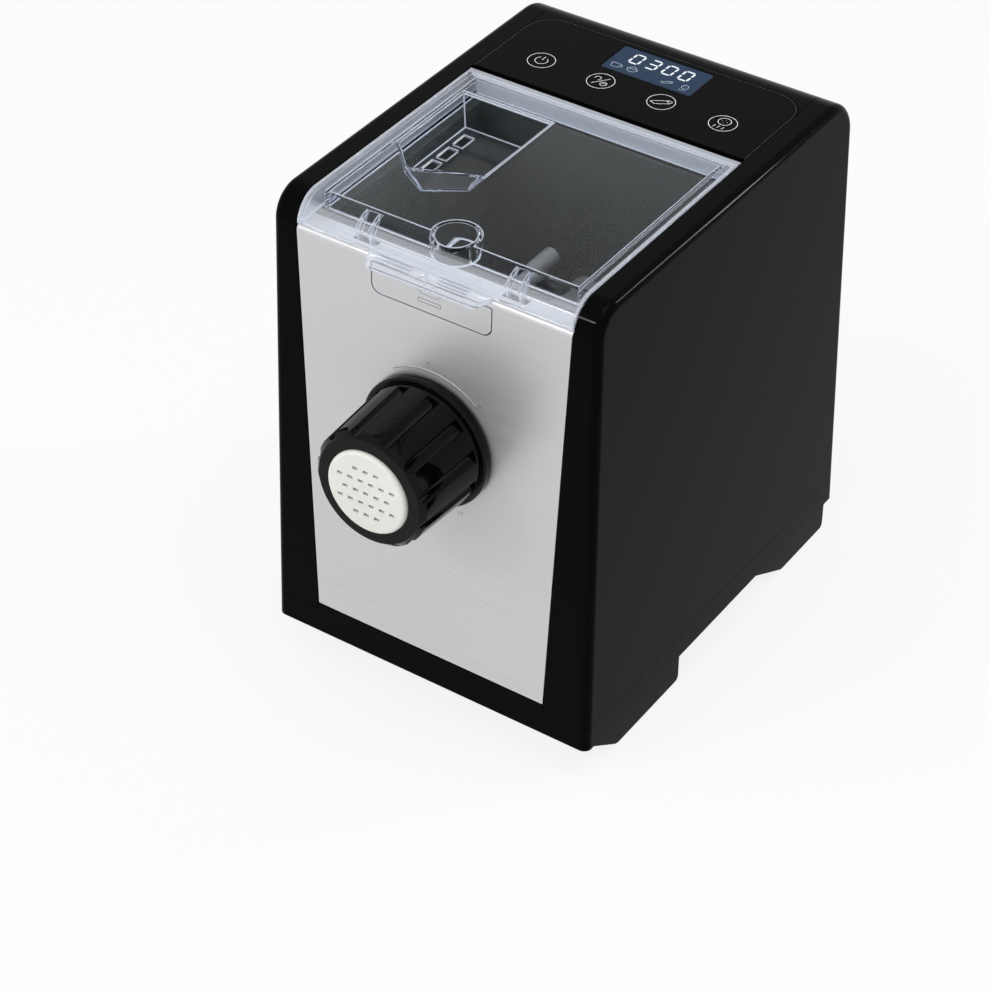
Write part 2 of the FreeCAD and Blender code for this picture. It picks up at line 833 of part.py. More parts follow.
def lid():
    """Clear lid: top plate rolled down at the front, side walls, inner skirt, pocket and tab."""
    half = opening_x(body_height) - lid_side_gap
    start = lid_bottom - 30.0
    solid = lid_slab(0.0, start, -half, half)
    solid = solid.cut(lid_slab(lid_thickness, start - 5.0, -half + lid_thickness, half - lid_thickness))
    solid = solid.common(block(-half - 1, half + 1, -20.0, lid_rear + 1.0, lid_bottom, body_height + 5.0))
    solid = solid.common(wedge(lambda z: -opening_x(z) + lid_side_gap,
                               lambda z: opening_x(z) - lid_side_gap, 0.0, body_height + 20.0))
    inside = lid_slab(lid_thickness - 0.5, start, -half, half)
    skirt = block(-skirt_half_width, skirt_half_width, skirt_front, skirt_rear, skirt_bottom, body_height)
    skirt = skirt.cut(block(-skirt_half_width + skirt_wall, skirt_half_width - skirt_wall,
                            skirt_front + skirt_wall, skirt_rear - skirt_wall, 0.0, body_height + 5.0))
    boss_y = skirt_front + boss_setback
    boss = upright(boss_radius, 0.0, boss_y, body_height - lid_thickness - boss_depth, body_height)
    skirt = skirt.fuse(boss).common(inside)
    solid = solid.fuse(skirt)
    solid = solid.cut(upright(boss_radius - boss_wall, 0.0, boss_y, 0.0, body_height - lid_thickness))
    outer = pocket_prism(0.0, pocket_bottom, body_height)
    inner = pocket_prism(-pocket_wall, pocket_bottom + pocket_wall, body_height + 0.2)
    solid = solid.fuse(outer).cut(inner)
    slot_x, slot_y = pocket_slot_size
    x = pocket_left + pocket_slot_left
    for i in range(pocket_slot_count):
        y = pocket_rear - pocket_slot_middle + (i - (pocket_slot_count - 1) / 2.0) * pocket_slot_pitch
        solid = solid.cut(block(x, x + slot_x, y - slot_y / 2.0, y + slot_y / 2.0,
                                pocket_bottom - past, pocket_bottom + pocket_wall + 3.0))
    solid = solid.fuse(lid_tab())
    for side in (-1, 1):
        for offset in (-hook_rib_spread, hook_rib_spread):
            solid = solid.fuse(lid_hook(side * hook_slot_x + offset))
    for side in (-1, 1):
        solid = solid.fuse(lid_pin(side))
    return solid.removeSplitter()


def lid_tab():
    """Finger tab that reaches forward over the button, with its right corner cut off."""
    root_y = front_y(lid_bottom) + 1.0
    tip_y = root_y - tab_reach
    top = lid_bottom + tab_rise
    tip_top = lid_bottom - tab_drop + tab_thickness
    points = [(-tab_half_left - 2.0, root_y + tab_rise), (tab_root, root_y + tab_rise), (tab_root, root_y),
              (tab_half_right, tip_y), (-tab_half_left, tip_y), (-tab_half_left - 2.0, root_y)]
    solid = plate(points, [0, 0, 1.5, 4.0, 3.0, 1.5], "xy", tip_top - 2 * tab_thickness, top)
    side = [(root_y + tab_rise, lid_bottom + 0.01), (root_y, lid_bottom + 0.01),
            (tip_y - 1.0, lid_bottom - tab_drop), (tip_y - 1.0, tip_top), (root_y + 1.0, top),
            (root_y + tab_rise, top)]
    bent = plate(side, [0, 0, 0, 0, 0, 0], "yz", -tab_root - 5.0, tab_root + 5.0)
    tab = solid.common(bent)
    slope = (top - tip_top) / tab_reach
    for i in range(tab_ribs):
        along = tab_rib_first + i * tab_rib_pitch
        y = tip_y + along
        z = tip_top + along * slope
        tab = tab.fuse(block(-tab_half_left + 5.0, tab_half_right - 8.0, y, y + tab_rib_width,
                             z - 2 * tab_rib_proud, z + tab_rib_proud))
    return tab


def lid_hook(x):
    """Thin three-cornered rib under the lid's front, with a toe that drops into its slot."""
    y = hook_y()
    under = body_height - lid_thickness + bite
    points = [(y, panel_top - hook_drop), (y + hook_thickness, panel_top - hook_drop),
              (y + hook_thickness, panel_top + 2.0), (skirt_front + bite, under), (y - 3.0, under)]
    rib = plate(points, [0] * 5, "yz", x - hook_rib_width / 2.0, x + hook_rib_width / 2.0)
    return rib.common(body_slab(lid_thickness - bite, panel_top - 20.0, -body_width, body_width))


def lid_pin(side):
    """Stub that stands out from the lid's side wall and turns in the side shell."""
    x = opening_x(hinge_axis_z()) - lid_side_gap - 1.0
    pin = Part.makeCylinder(hinge_pin_radius, hinge_pin_length + 1.0,
                            Vector(x, hinge_axis_y(), hinge_axis_z()), Vector(1, 0, 0))
    return pin if side > 0 else pin.mirror(Vector(0, 0, 0), Vector(1, 0, 0))


def hinge_socket():
    """Boss under the right shell's top margin with the bore for the lid's pin."""
    y = hinge_axis_y()
    z = hinge_axis_z()
    x = opening_x(body_height)
    top = body_height - wall + bite
    boss = block(x, x + socket_width, y - socket_half_depth, y + socket_half_depth, top - socket_height, top)
    bore = Part.makeCylinder(hinge_pin_radius + running, hinge_pin_length + gap + 1.0,
                             Vector(x - 1.0, y, z), Vector(1, 0, 0))
    return boss, bore


def chamber_section(inset, z_top):
    """Rounded trough across the machine, moved inwards by inset."""
    points = [(-chamber_top_half + inset, z_top), (-chamber_bottom_half + inset, chamber_bottom + inset),
              (chamber_bottom_half - inset, chamber_bottom + inset), (chamber_top_half - inset, z_top)]
    corner = chamber_corner - inset
    return points, [0, corner, corner, 0]


def mixing_chamber():
    """Open trough with a rim, a hole for the tube in front and one for the shaft behind."""
    points, radii = chamber_section(0.0, chamber_top)
    solid = plate(points, radii, "xz", chamber_front, chamber_rear)
    half = chamber_top_half + chamber_rim
    rim = plate([(-half, chamber_front), (half, chamber_front), (half, chamber_rear), (-half, chamber_rear)],
                [chamber_wall] * 4, "xy", chamber_top - chamber_wall, chamber_top)
    solid = solid.fuse(rim)
    points, radii = chamber_section(chamber_wall, chamber_top + 5.0)
    hollow = plate(points, radii, "xz", chamber_front + chamber_wall, chamber_rear - chamber_wall)
    solid = solid.cut(hollow)
    solid = solid.cut(rod(tube_outer - spigot_step + gap, 0.0, axis_height, chamber_front - past,
                          chamber_front + 2 * chamber_wall))
    solid = solid.cut(rod(seal_outer, 0.0, axis_height, chamber_rear - 2 * chamber_wall,
                          chamber_rear + past))
    return solid.removeSplitter()


def shaft_seal():
    """Grooved rubber ring in the chamber's back wall, with a lip round the shaft."""
    y0 = chamber_rear - chamber_wall
    seal = rod(seal_outer - seal_squeeze, 0.0, axis_height, y0, chamber_rear)
    seal = seal.fuse(rod(seal_outer + seal_lip, 0.0, axis_height, y0 - seal_lip_height, y0))
    seal = seal.cut(rod(shaft_radius + seal_play, 0.0, axis_height, y0 - 8.0, chamber_rear + past))
    return seal.removeSplitter()


def lug_ring(inner, outer, y0, y1, span, turn):
    """Part of a ring about the nozzle axis; turn is the middle angle from the top."""
    ring = rod(outer, 0.0, axis_height, y0, y1).cut(rod(inner, 0.0, axis_height, y0 - 1, y1 + 1))
    reach = outer * 2.0
    a0 = math.radians(90.0 + turn - span / 2.0)
    a1 = math.radians(90.0 + turn + span / 2.0)
    slice_points = [Vector(0, y0, axis_height)]
    for a in (a0, (a0 + a1) / 2.0, a1):
        slice_points.append(Vector(reach * math.cos(a), y0, axis_height + reach * math.sin(a)))
    pie = Part.Face(Part.makePolygon(slice_points + slice_points[:1])).extrude(back * (y1 - y0))
    return ring.common(pie)


def extrusion_tube():
    """Barrel through the front wall, with a collar behind it and three bayonet lugs."""
    end = chamber_front + chamber_wall
    collar_end = chamber_front - gap
    tube = rod(tube_outer, 0.0, axis_height, tube_front, collar_end - past)
    tube = tube.fuse(rod(tube_collar, 0.0, axis_height, collar_end - collar_thickness, collar_end))
    tube = tube.fuse(rod(tube_outer - spigot_step, 0.0, axis_height, collar_end - past, end))
    for i in range(lug_count):
        lug = lug_ring(tube_outer - past, tube_outer + lug_reach, lug_y[0], lug_y[1], lug_span,
                       i * 360.0 / lug_count)
        tube = tube.fuse(lug)
    return tube.cut(rod(tube_bore, 0.0, axis_height, tube_front - past, end + past)).removeSplitter()


def locking_ring():
    """Fluted screw ring: base flange, round-bottomed flutes, bayonet groove and a front lip."""
    nose = ring_nose
    base = ring_back
    step = base - ring_flange_thickness
    profile = [
        Vector(0, base, 0),
        Vector(ring_flange, base, 0),
        Vector(ring_flange, step + 1.0, 0),
        Vector(ring_flange - 1.0, step, 0),
        Vector(ring_base, step, 0),
        Vector(ring_front, nose + ring_chamfer, 0),
        Vector(ring_front - ring_chamfer, nose, 0),
        Vector(0, nose, 0),
    ]
    face = Part.Face(Part.makePolygon(profile + profile[:1]))
    ring = face.revolve(Vector(0, 0, 0), back, 360.0)
    ring.translate(middle)
    start = step - flute_margin
    for i in range(ring_flutes):
        turn = math.radians(360.0 / ring_flutes * (i + 0.5))
        away = Vector(math.sin(turn), 0, math.cos(turn))
        near = middle + away * (ring_base + flute_radius - flute_depth) + Vector(0, start, 0)
        far = middle + away * (ring_front + flute_radius - flute_depth) + Vector(0, nose - past, 0)
        along = far - near
        ring = ring.cut(Part.makeCylinder(flute_radius, along.Length, near, along))
    bore = tube_outer + ring_clearance
    seat = tube_front - disc_flange_thickness - 2 * gap
    ring = ring.cut(rod(bore, 0.0, axis_height, tube_front - gap, base + past))
    ring = ring.cut(rod(disc_flange + gap, 0.0, axis_height, seat, tube_front))
    ring = ring.cut(rod(ring_opening, 0.0, axis_height, nose - past, tube_front))
    groove = tube_outer + lug_reach + lug_play
    ring = ring.cut(rod(groove, 0.0, axis_height, lug_y[0] - lug_play, lug_y[1] + lug_play))
    for i in range(lug_count):
        entry = lug_ring(bore - past, groove, lug_y[0], base + past, lug_span + 4.0,
                         i * 360.0 / lug_count + ring_turn)
        ring = ring.cut(entry)
    return ring.removeSplitter()


def shaping_disc():
    """White die: flange behind the ring's lip, rounded neck and staggered rows of noodle slots."""
    seat = tube_front - gap
    disc = rod(disc_flange, 0.0, axis_height, seat - disc_flange_thickness, seat)
    neck = rod(disc_neck, 0.0, axis_height, disc_front, seat - bite)
    rim = [edge for edge in neck.Edges if edge.BoundBox.YMax < disc_front + 0.1]
    disc = disc.fuse(neck.makeFillet(disc_rim_round, rim))
    width, height = disc_slot_size
    for x, z in slot_places():
        disc = disc.cut(block(x - width / 2.0, x + width / 2.0, disc_front - past, seat + past,
                              axis_height + z - height / 2.0, axis_height + z + height / 2.0))
    return disc.removeSplitter()


def slot_places():
    """Middle points of the die's slots, each row shifted by half a slot against the next."""
    places = []
    for row in range(disc_rows):
        z = (row - (disc_rows - 1) / 2.0) * disc_row_pitch
        for step in range(-3, 4):
            x = (step + 0.5 * (row % 2)) * disc_slot_pitch
            if math.hypot(x, z) < disc_slot_reach:
                places.append((x, z))
    return places


def hexagon(flats, y0, y1, at=0.0):
    """Six-sided bar along the shaft's axis."""
    corner = flats / 2.0 / math.cos(math.radians(30.0))
    points = []
    for i in range(6):
        turn = math.radians(60.0 * i)
        points.append(Vector(corner * math.cos(turn), y0, axis_height + corner * math.sin(turn)))
    return Part.Face(Part.makePolygon(points + points[:1])).extrude(back * (y1 - y0))


def screw_hub_start():
    """The plain hub begins just behind the end of the flight."""
    return screw_front + screw_pitch * screw_turns + flight_thickness + 2 * flight_flare + 1.0


def extrusion_screw():
    """Feed screw: tapered nose, core, one helical flight and a hub with a six-sided socket."""
    radius = tube_bore - screw_clearance
    half = flight_thickness / 2.0
    root = half + flight_flare
    inner = screw_core - 2.0
    helix = Part.makeHelix(screw_pitch, screw_pitch * screw_turns, radius)
    section = Part.makePolygon([Vector(inner, 0, -root), Vector(radius, 0, -half), Vector(radius, 0, half),
                                Vector(inner, 0, root), Vector(inner, 0, -root)])
    flight = Part.Wire(helix.Edges).makePipeShell([section], True, True)
    flight.rotate(Vector(0, 0, 0), Vector(1, 0, 0), -90.0)
    flight.translate(Vector(0, screw_front + root, axis_height))
    start = screw_hub_start()
    core = rod(screw_core, 0.0, axis_height, screw_front, start + past)
    tip = Part.makeCone(screw_tip, screw_core, screw_tip_length,
                        Vector(0, screw_front - screw_tip_length, axis_height), back)
    hub = rod(screw_hub, 0.0, axis_height, start, screw_hub_end)
    screw = core.fuse(tip).fuse(hub).fuse(flight)
    socket = hexagon(shaft_flats + 2 * hex_play, start + socket_floor, screw_hub_end + past)
    return screw.cut(socket).removeSplitter()


def mixing_paddle():
    """Stirring paddle: hub tube and two opposite arms, each with a scraper bar."""
    y0 = paddle_start
    y1 = paddle_end
    reach = paddle_reach - paddle_bar
    middle_y = (y0 + y1) / 2.0
    paddle = rod(paddle_hub, 0.0, axis_height, y0, y1)
    front_span = (y0 + paddle_bar_inset, middle_y + paddle_bar_overlap)
    rear_span = (middle_y - paddle_bar_overlap, y1 - paddle_bar_inset)
    for side, arm_y, span in ((1, y0 + paddle_arm_inset, front_span),
                              (-1, y1 - paddle_arm_inset, rear_span)):
        arm = Part.makeCylinder(paddle_bar, reach, Vector(0, arm_y, axis_height), Vector(0, 0, side))
        paddle = paddle.fuse(arm).fuse(rod(paddle_bar, 0.0, axis_height + side * reach, *span))
    paddle = paddle.cut(hexagon(shaft_flats + 2 * hex_play, y0 - past, y1 - paddle_round_end))
    paddle = paddle.cut(rod(shaft_radius + hex_play, 0.0, axis_height, y1 - paddle_round_end - bite,
                            y1 + past))
    return paddle.removeSplitter()


def drive_shaft():
    """Round shaft through the seal and gearbox with a six-sided front end."""
    step = paddle_end - paddle_round_end
    shaft = rod(shaft_radius, 0.0, axis_height, step, gearbox_back + past)
    nose = hexagon(shaft_flats, screw_hub_start() + socket_floor + gap, step + past)
    return shaft.fuse(nose).removeSplitter()


def gear(teeth, module, x, z, y0, y1, turn, bore):
    """Spur gear: straight-sided teeth, a little thinner than the gaps between them."""
    pitch = module * teeth / 2.0
    outer = pitch + module
    root = pitch - tooth_depth * module
    step = 2.0 * math.pi / teeth
    half_tip = step * tooth_tip
    half_root = step * tooth_root
    points = []
    for i in range(teeth):
        for radius, angle in ((root, -half_root), (outer, -half_tip), (outer, half_tip), (root, half_root)):
            a = i * step + turn + angle
            points.append(Vector(x + radius * math.cos(a), y0, z + radius * math.sin(a)))
    wheel = Part.Face(Part.makePolygon(points + points[:1])).extrude(back * (y1 - y0))
    if bore > 0:
        wheel = wheel.cut(rod(bore, x, z, y0 - past, y1 + past))
    return wheel


def stage_one_distance():
    return output_module * (output_teeth + small_teeth) / 2.0


def stage_two_distance():
    return motor_module * (big_teeth + pinion_teeth) / 2.0


def second_axis_z():
    return axis_height - stage_one_distance()


def motor_axis_z():
    return second_axis_z() - stage_two_distance()


def second_stage_y():
    return gear_y + gear_width + stage_gap


def output_gear():
    """Big wheel on the drive shaft, with round lightening holes."""
    end = gear_y + gear_width
    wheel = gear(output_teeth, output_module, 0.0, axis_height, gear_y, end, -math.pi / 2.0, shaft_radius)
    for i in range(wheel_holes):
        turn = 2.0 * math.pi / wheel_holes * i
        x = wheel_hole_circle * math.cos(turn)
        z = axis_height + wheel_hole_circle * math.sin(turn)
        wheel = wheel.cut(rod(wheel_hole_radius, x, z, gear_y - past, end + past))
    return wheel


def intermediate_gear():
    """Small wheel that meets the output gear, one piece with the big wheel behind it."""
    z = second_axis_z()
    half_tooth = math.pi / small_teeth
    small = gear(small_teeth, output_module, 0.0, z, gear_y, second_stage_y() + bite,
                 math.pi / 2.0 + half_tooth, 0.0)
    big = gear(big_teeth, motor_module, 0.0, z, second_stage_y(), second_stage_y() + second_width,
               -math.pi / 2.0, 0.0)
    bore = rod(axle_radius + running, 0.0, z, gear_y - past, gearbox_back)
    return small.fuse(big).cut(bore).removeSplitter()


def intermediate_axle():
    z = second_axis_z()
    return rod(axle_radius, 0.0, z, gearbox_front, gearbox_back)


def motor_pinion():
    z = motor_axis_z()
    half_tooth = math.pi / pinion_teeth
    return gear(pinion_teeth, motor_module, 0.0, z, second_stage_y() - pinion_overhang,
                second_stage_y() + second_width + pinion_overhang, math.pi / 2.0 + half_tooth,
                motor_shaft_radius)


def gearbox_outline(inset):
    """Keyhole outline round the two wheels, moved inwards by inset."""
    top = axis_height + gearbox_half - inset
    shoulder = axis_height - gearbox_shoulder
    low = motor_axis_z() - gearbox_foot_drop + inset
    half = gearbox_half - inset
    foot = gearbox_foot_half - inset
    return [(-half, top), (-half, shoulder), (-foot, low), (foot, low), (half, shoulder), (half, top)]


def gearbox_plate(inset, start, end):
    """Keyhole plate or cavity; the corners stay concentric as it shrinks."""
    radii = [radius - inset for radius in gearbox_radii]
    return plate(gearbox_outline(inset), radii, "xz", start, end)


def gearbox_split():
    return second_stage_y() + second_width + gearbox_split_gap


def gearbox_housing():
    """Front half: a deep cup open to the back, with bosses for the shaft and the axle."""
    split = gearbox_split()
    boss_end = gear_y - gear_side_gap
    z = second_axis_z()
    cup = gearbox_plate(0.0, gearbox_front, split)
    cup = cup.cut(gearbox_plate(gearbox_wall, gearbox_front + gearbox_wall, split + past))
    cup = cup.fuse(rod(bush_outer + boss_wall_thickness, 0.0, axis_height, gearbox_front, boss_end))
    cup = cup.fuse(rod(axle_radius + boss_wall_thickness, 0.0, z, gearbox_front, boss_end))
    cup = cup.cut(rod(bush_outer, 0.0, axis_height, gearbox_front - past, boss_end + past))
    cup = cup.cut(rod(axle_radius, 0.0, z, gearbox_front, boss_end + past))
    for x, z in gearbox_screw_places():
        cup = cup.fuse(rod(gearbox_boss, x, z, gearbox_front, split))
        cup = cup.cut(rod(gearbox_screw_radius + joint_gap, x, z, split - gearbox_screw_length,
                          split + past))
    return cup.removeSplitter()


def gearbox_screw_places():
    x = gearbox_half + 2.5
    low_x = gearbox_half - 1.5
    return [(-x, axis_height + 24.0), (x, axis_height + 24.0), (-low_x, axis_height - 40.0),
            (low_x, axis_height - 40.0)]


def gearbox_cover():
    """Back half: a flat lid with the rear bush's boss and the motor's round seat."""
    split = gearbox_split() + joint_gap
    end = gearbox_back + rear_bush_proud
    cover = gearbox_plate(0.0, split, gearbox_back)
    for x, z in gearbox_screw_places():
        cover = cover.fuse(rod(gearbox_boss, x, z, split, gearbox_back))
    cover = cover.fuse(rod(bush_outer + boss_wall_thickness, 0.0, axis_height, split, end))
    cover = cover.cut(rod(bush_outer, 0.0, axis_height, split - past, end + past))
    cover = cover.cut(rod(axle_radius, 0.0, second_axis_z(), split - past, gearbox_back + past))
    cover = cover.cut(rod(motor_shaft_radius + gearbox_wall, 0.0, motor_axis_z(), split - past,
                          gearbox_back + past))
    for x, z in gearbox_screw_places():
        cover = cover.cut(rod(gearbox_screw_radius + bite, x, z, split - past, gearbox_back + past))
    return cover.removeSplitter()


def shaft_bushes():
    """Two plain bearings, one in each half of the gearbox."""
    front_span = (gearbox_front, gear_y - gear_side_gap)
    rear_span = (gearbox_split() + joint_gap, gearbox_back + rear_bush_proud)
    bushes = []
    for y0, y1 in (front_span, rear_span):
        bush = rod(bush_outer - joint_gap / 2.0, 0.0, axis_height, y0, y1)
        bushes.append(bush.cut(rod(shaft_radius + running, 0.0, axis_height, y0 - past, y1 + past)))
    return Part.makeCompound(bushes)


def gearbox_bracket():
    """Folded steel bracket from the base up to the gearbox, with a clear hole for the shaft."""
    low = arch_height + wall
    half = bracket_half
    y = bracket_y
    back_face = y + bracket_thickness
    bracket = block(-half, half, y, back_face, low, axis_height + half)
    bracket = bracket.fuse(block(-half, half, y, y + bracket_foot, low, low + bracket_thickness))
    for side in (-1, 1):
        x0, x1 = (half - bracket_thickness, half) if side > 0 else (-half, bracket_thickness - half)
        points = [(y + past, low + past), (y + bracket_foot - past, low + past),
                  (y + past, low + bracket_gusset)]
        bracket = bracket.fuse(plate(points, [0, 0, 0], "yz", x0, x1))
        bracket = bracket.cut(upright(bracket_hole, side * bracket_hole_x, y + 16.0, low - past, low + 5.0))
    bracket = bracket.cut(rod(bush_outer + bush_wall_step, 0.0, axis_height, y - past, back_face + past))
    spacer = gearbox_plate(spacer_inset, back_face, gearbox_front)
    spacer = spacer.cut(gearbox_plate(spacer_inset + spacer_wall, back_face, gearbox_front + past))
    return bracket.fuse(spacer).removeSplitter()


def motor_start():
    return gearbox_back + motor_gap


def motor():
    """Motor can on a turned seat, with cooling slots and a rear bearing nose."""
    z = motor_axis_z()
    y0 = motor_start()
    y1 = y0 + motor_length
    can = rod(motor_radius, 0.0, z, y0, y1)
    rims = [edge for edge in can.Edges if edge.Closed]
    can = can.makeChamfer(motor_rim_chamfer, rims)
    can = can.fuse(rod(motor_seat_radius, 0.0, z, gearbox_back, y0 + past))
    can = can.fuse(rod(motor_nose_radius, 0.0, z, y1 - past, y1 + motor_nose_length))
    half = motor_slot_width / 2.0
    for i in range(motor_slots):
        slot = block(-half, half, y0 + motor_slot_inset, y1 - motor_slot_inset,
                     motor_radius - motor_slot_depth, motor_radius + past)
        slot.rotate(Vector(0, 0, 0), back, 360.0 / motor_slots * i)
        slot.translate(Vector(0, 0, z))
        can = can.cut(slot)
    bore = rod(motor_shaft_radius + running, 0.0, z, gearbox_back - past, y1 + motor_nose_length + past)
    return can.cut(bore).removeSplitter()


def motor_shaft():
    """Shaft from the pinion through the motor to the fan."""
    start = second_stage_y() - pinion_overhang
    return rod(motor_shaft_radius, 0.0, motor_axis_z(), start, motor_start() + motor_length + shaft_tail)


def cooling_fan():
    """Seven flat blades round a hub on the motor's back end."""
    z = motor_axis_z()
    y0 = motor_start() + motor_length + fan_gap
    y1 = y0 + fan_width
    half = fan_blade_thickness / 2.0
    root = fan_hub_radius - 2.0
    hub = rod(fan_hub_radius, 0.0, z, y0, y1)
    for i in range(fan_blades):
        blade = block(-half, half, y0, y1, root, fan_radius)
        blade.rotate(Vector(0, (y0 + y1) / 2.0, (root + fan_radius) / 2.0), Vector(0, 0, 1), fan_blade_angle)
        blade = blade.common(block(-fan_width, fan_width, y0, y1, 0.0, 2 * fan_radius))
        blade.rotate(Vector(0, 0, 0), back, 360.0 / fan_blades * i)
        blade.translate(Vector(0, 0, z))
        hub = hub.fuse(blade)
    return hub.cut(rod(motor_shaft_radius, 0.0, z, y0 - past, y1 + past)).removeSplitter()


def power_board():
    """Mains board on the floor of the base with its tall parts."""
    low = arch_height + wall + power_board_lift
    top = low + board_thickness
    x0, x1, y0, y1 = power_board_box
    board = block(x0, x1, y0, y1, low, top)
    for x, y, width, depth, height in square_parts:
        board = board.fuse(block(x, x + width, y, y + depth, top - bite, top + height))
    for x, y, radius, height in round_parts:
        board = board.fuse(upright(radius, x, y, top - bite, top + height))
    inset = power_board_post_inset
    for x in (x0 + inset, x1 - inset):
        for y in (y0 + inset, y1 - inset):
            board = board.fuse(upright(power_board_post, x, y, arch_height + wall, low + bite))
    return board.removeSplitter()


def hook_y():
    """Where the lid's hook toes start, inside their slots in the shelf."""
    return front_y(panel_top) + panel_shelf_depth - hook_slot_size[1] - hook_slot_margin + hook_play


def plunger_y():
    return hook_y() + hook_thickness / 2.0


def switch_front():
    return plunger_y() - switch_lead


def lid_switch():
    """Small switch under the right hook slot, with the bore for its plunger."""
    width, depth, height = switch_size
    y = switch_front()
    top = switch_bottom + height
    body = block(switch_x - width / 2.0, switch_x + width / 2.0, y, y + depth, switch_bottom, top)
    return body.cut(upright(plunger_radius + running, switch_x, plunger_y(), switch_bottom + switch_floor,
                            top + past))


def lid_switch_plunger():
    """Pin that the closed lid's hook holds down; it rises as the lid opens."""
    top = panel_top - hook_drop - gap
    return upright(plunger_radius, switch_x, plunger_y(), switch_bottom + switch_floor + gap, top)


def screws(places, radius, head, length):
    """Plain pins with a flat head that go in from the back."""
    out = []
    for point in places:
        shank = Part.makeCylinder(radius, length, point, forward)
        cap = Part.makeCylinder(head, screw_head_height, point - forward * screw_head_height, forward)
        out.append(shank.fuse(cap))
    return Part.makeCompound(out)


def gearbox_screws():
    places = [Vector(x, gearbox_back + joint_gap, z) for x, z in gearbox_screw_places()]
    return screws(places, gearbox_screw_radius, gearbox_screw_head, gearbox_screw_length)


def rear_cover_screws():
    places = [Vector(x, rear_y(z) - screw_sink, z) for x, z in rear_screw_places()]
    return screws(places, rear_screw_radius, rear_screw_head, rear_screw_length)


def save(name, shape):
    moved = shape.copy()
    moved.translate(Vector(0, origin_shift, 0))
    moved.exportStep(os.path.join("parts", name + ".step"))
    box = moved.BoundBox
    print(name, len(moved.Solids), "solids", moved.isValid(), round(moved.Volume / 1000.0, 1), "cm3",
          [round(v, 1) for v in (box.XMin, box.XMax, box.YMin, box.YMax, box.ZMin, box.ZMax)])


def main():
    os.makedirs("parts", exist_ok=True)
    right = side_shell()
    left = right.mirror(Vector(0, 0, 0), Vector(1, 0, 0))
    save("right_side_shell", right)
    save("left_side_shell", left)
    for make in (base_tray, rubber_feet, front_panel, front_bulkhead, release_button, rear_cover,
                 cord_gland, control_panel, display_window, display_board, touch_springs, lid,
                 mixing_chamber, shaft_seal, extrusion_tube, locking_ring, shaping_disc,
                 extrusion_screw, mixing_paddle, drive_shaft, output_gear, intermediate_gear,
                 intermediate_axle, motor_pinion, gearbox_housing, gearbox_cover, shaft_bushes,
                 gearbox_bracket, motor, motor_shaft, cooling_fan, power_board, lid_switch,
                 lid_switch_plunger, gearbox_screws, rear_cover_screws):
        save(make.__name__, make())


main()
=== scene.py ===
import math

import bpy
from mathutils import Matrix, Vector


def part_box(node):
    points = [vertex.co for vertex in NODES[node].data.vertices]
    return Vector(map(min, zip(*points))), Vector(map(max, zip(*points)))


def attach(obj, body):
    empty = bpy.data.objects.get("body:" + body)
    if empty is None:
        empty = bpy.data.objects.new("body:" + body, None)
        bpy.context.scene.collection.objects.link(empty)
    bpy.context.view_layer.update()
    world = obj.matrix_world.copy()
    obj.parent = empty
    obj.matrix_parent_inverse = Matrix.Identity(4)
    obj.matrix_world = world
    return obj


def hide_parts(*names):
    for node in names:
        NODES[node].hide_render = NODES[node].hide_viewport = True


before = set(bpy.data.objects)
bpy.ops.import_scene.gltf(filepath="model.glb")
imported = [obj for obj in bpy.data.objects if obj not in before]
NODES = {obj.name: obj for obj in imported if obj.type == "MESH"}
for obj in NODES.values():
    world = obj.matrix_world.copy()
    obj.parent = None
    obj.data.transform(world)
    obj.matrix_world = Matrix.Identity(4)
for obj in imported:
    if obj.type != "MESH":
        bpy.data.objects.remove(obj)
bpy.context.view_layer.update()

bl_info = {
    "name": "Pasta Maker Looks",
    "version": (1, 0, 0),
    "blender": (4, 5, 0),
    "location": "View3D > Sidebar > Pasta Maker",
    "description": "Finishes and printed marks for a countertop pasta maker with a clear lid",
    "category": "Object",
}

MM = 0.001
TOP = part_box("control_panel")[1].z
PANEL_LOW, PANEL_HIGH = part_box("front_panel")
NOZZLE_LOW, NOZZLE_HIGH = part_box("locking_ring")
NOZZLE_Z = (NOZZLE_LOW.z + NOZZLE_HIGH.z) / 2
WINDOW_LOW, WINDOW_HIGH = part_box("display_window")
FRONT_SETBACK = 6.0 * MM    # how far the steel's top stands behind its foot
FRONT_RISE = 287.0 * MM     # the height over which it does so
BODY_CENTRE = 111.25 * MM   # from the housing's front to the frame's origin
PRINT_LIFT = 0.02 * MM      # middle of a printed line above its surface
PRINT_HEIGHT = 0.05         # thickness of a printed line, in millimetres


class HousingLook(bpy.types.PropertyGroup):
    black: bpy.props.FloatVectorProperty(
        name="Housing black", description="Colour of the glossy moulded housing",
        default=(0.0016, 0.0015, 0.0017), subtype="COLOR", min=0.0, max=1.0)
    gloss: bpy.props.FloatProperty(
        name="Roughness", description="Roughness of the polished plastic",
        default=0.06, min=0.0, max=1.0, subtype="FACTOR")
    specular: bpy.props.FloatProperty(
        name="Specular level", description="Strength of the plastic's mirror reflection",
        default=0.022, min=0.0, max=1.0, subtype="FACTOR")
    ring_specular: bpy.props.FloatProperty(
        name="Ring specular level", description="Strength of the locking ring's mirror reflection",
        default=0.12, min=0.0, max=1.0, subtype="FACTOR")
    edge_round: bpy.props.FloatProperty(
        name="Edge round", description="Radius of the moulded edges",
        default=0.5 * MM, min=0.0, unit="LENGTH")


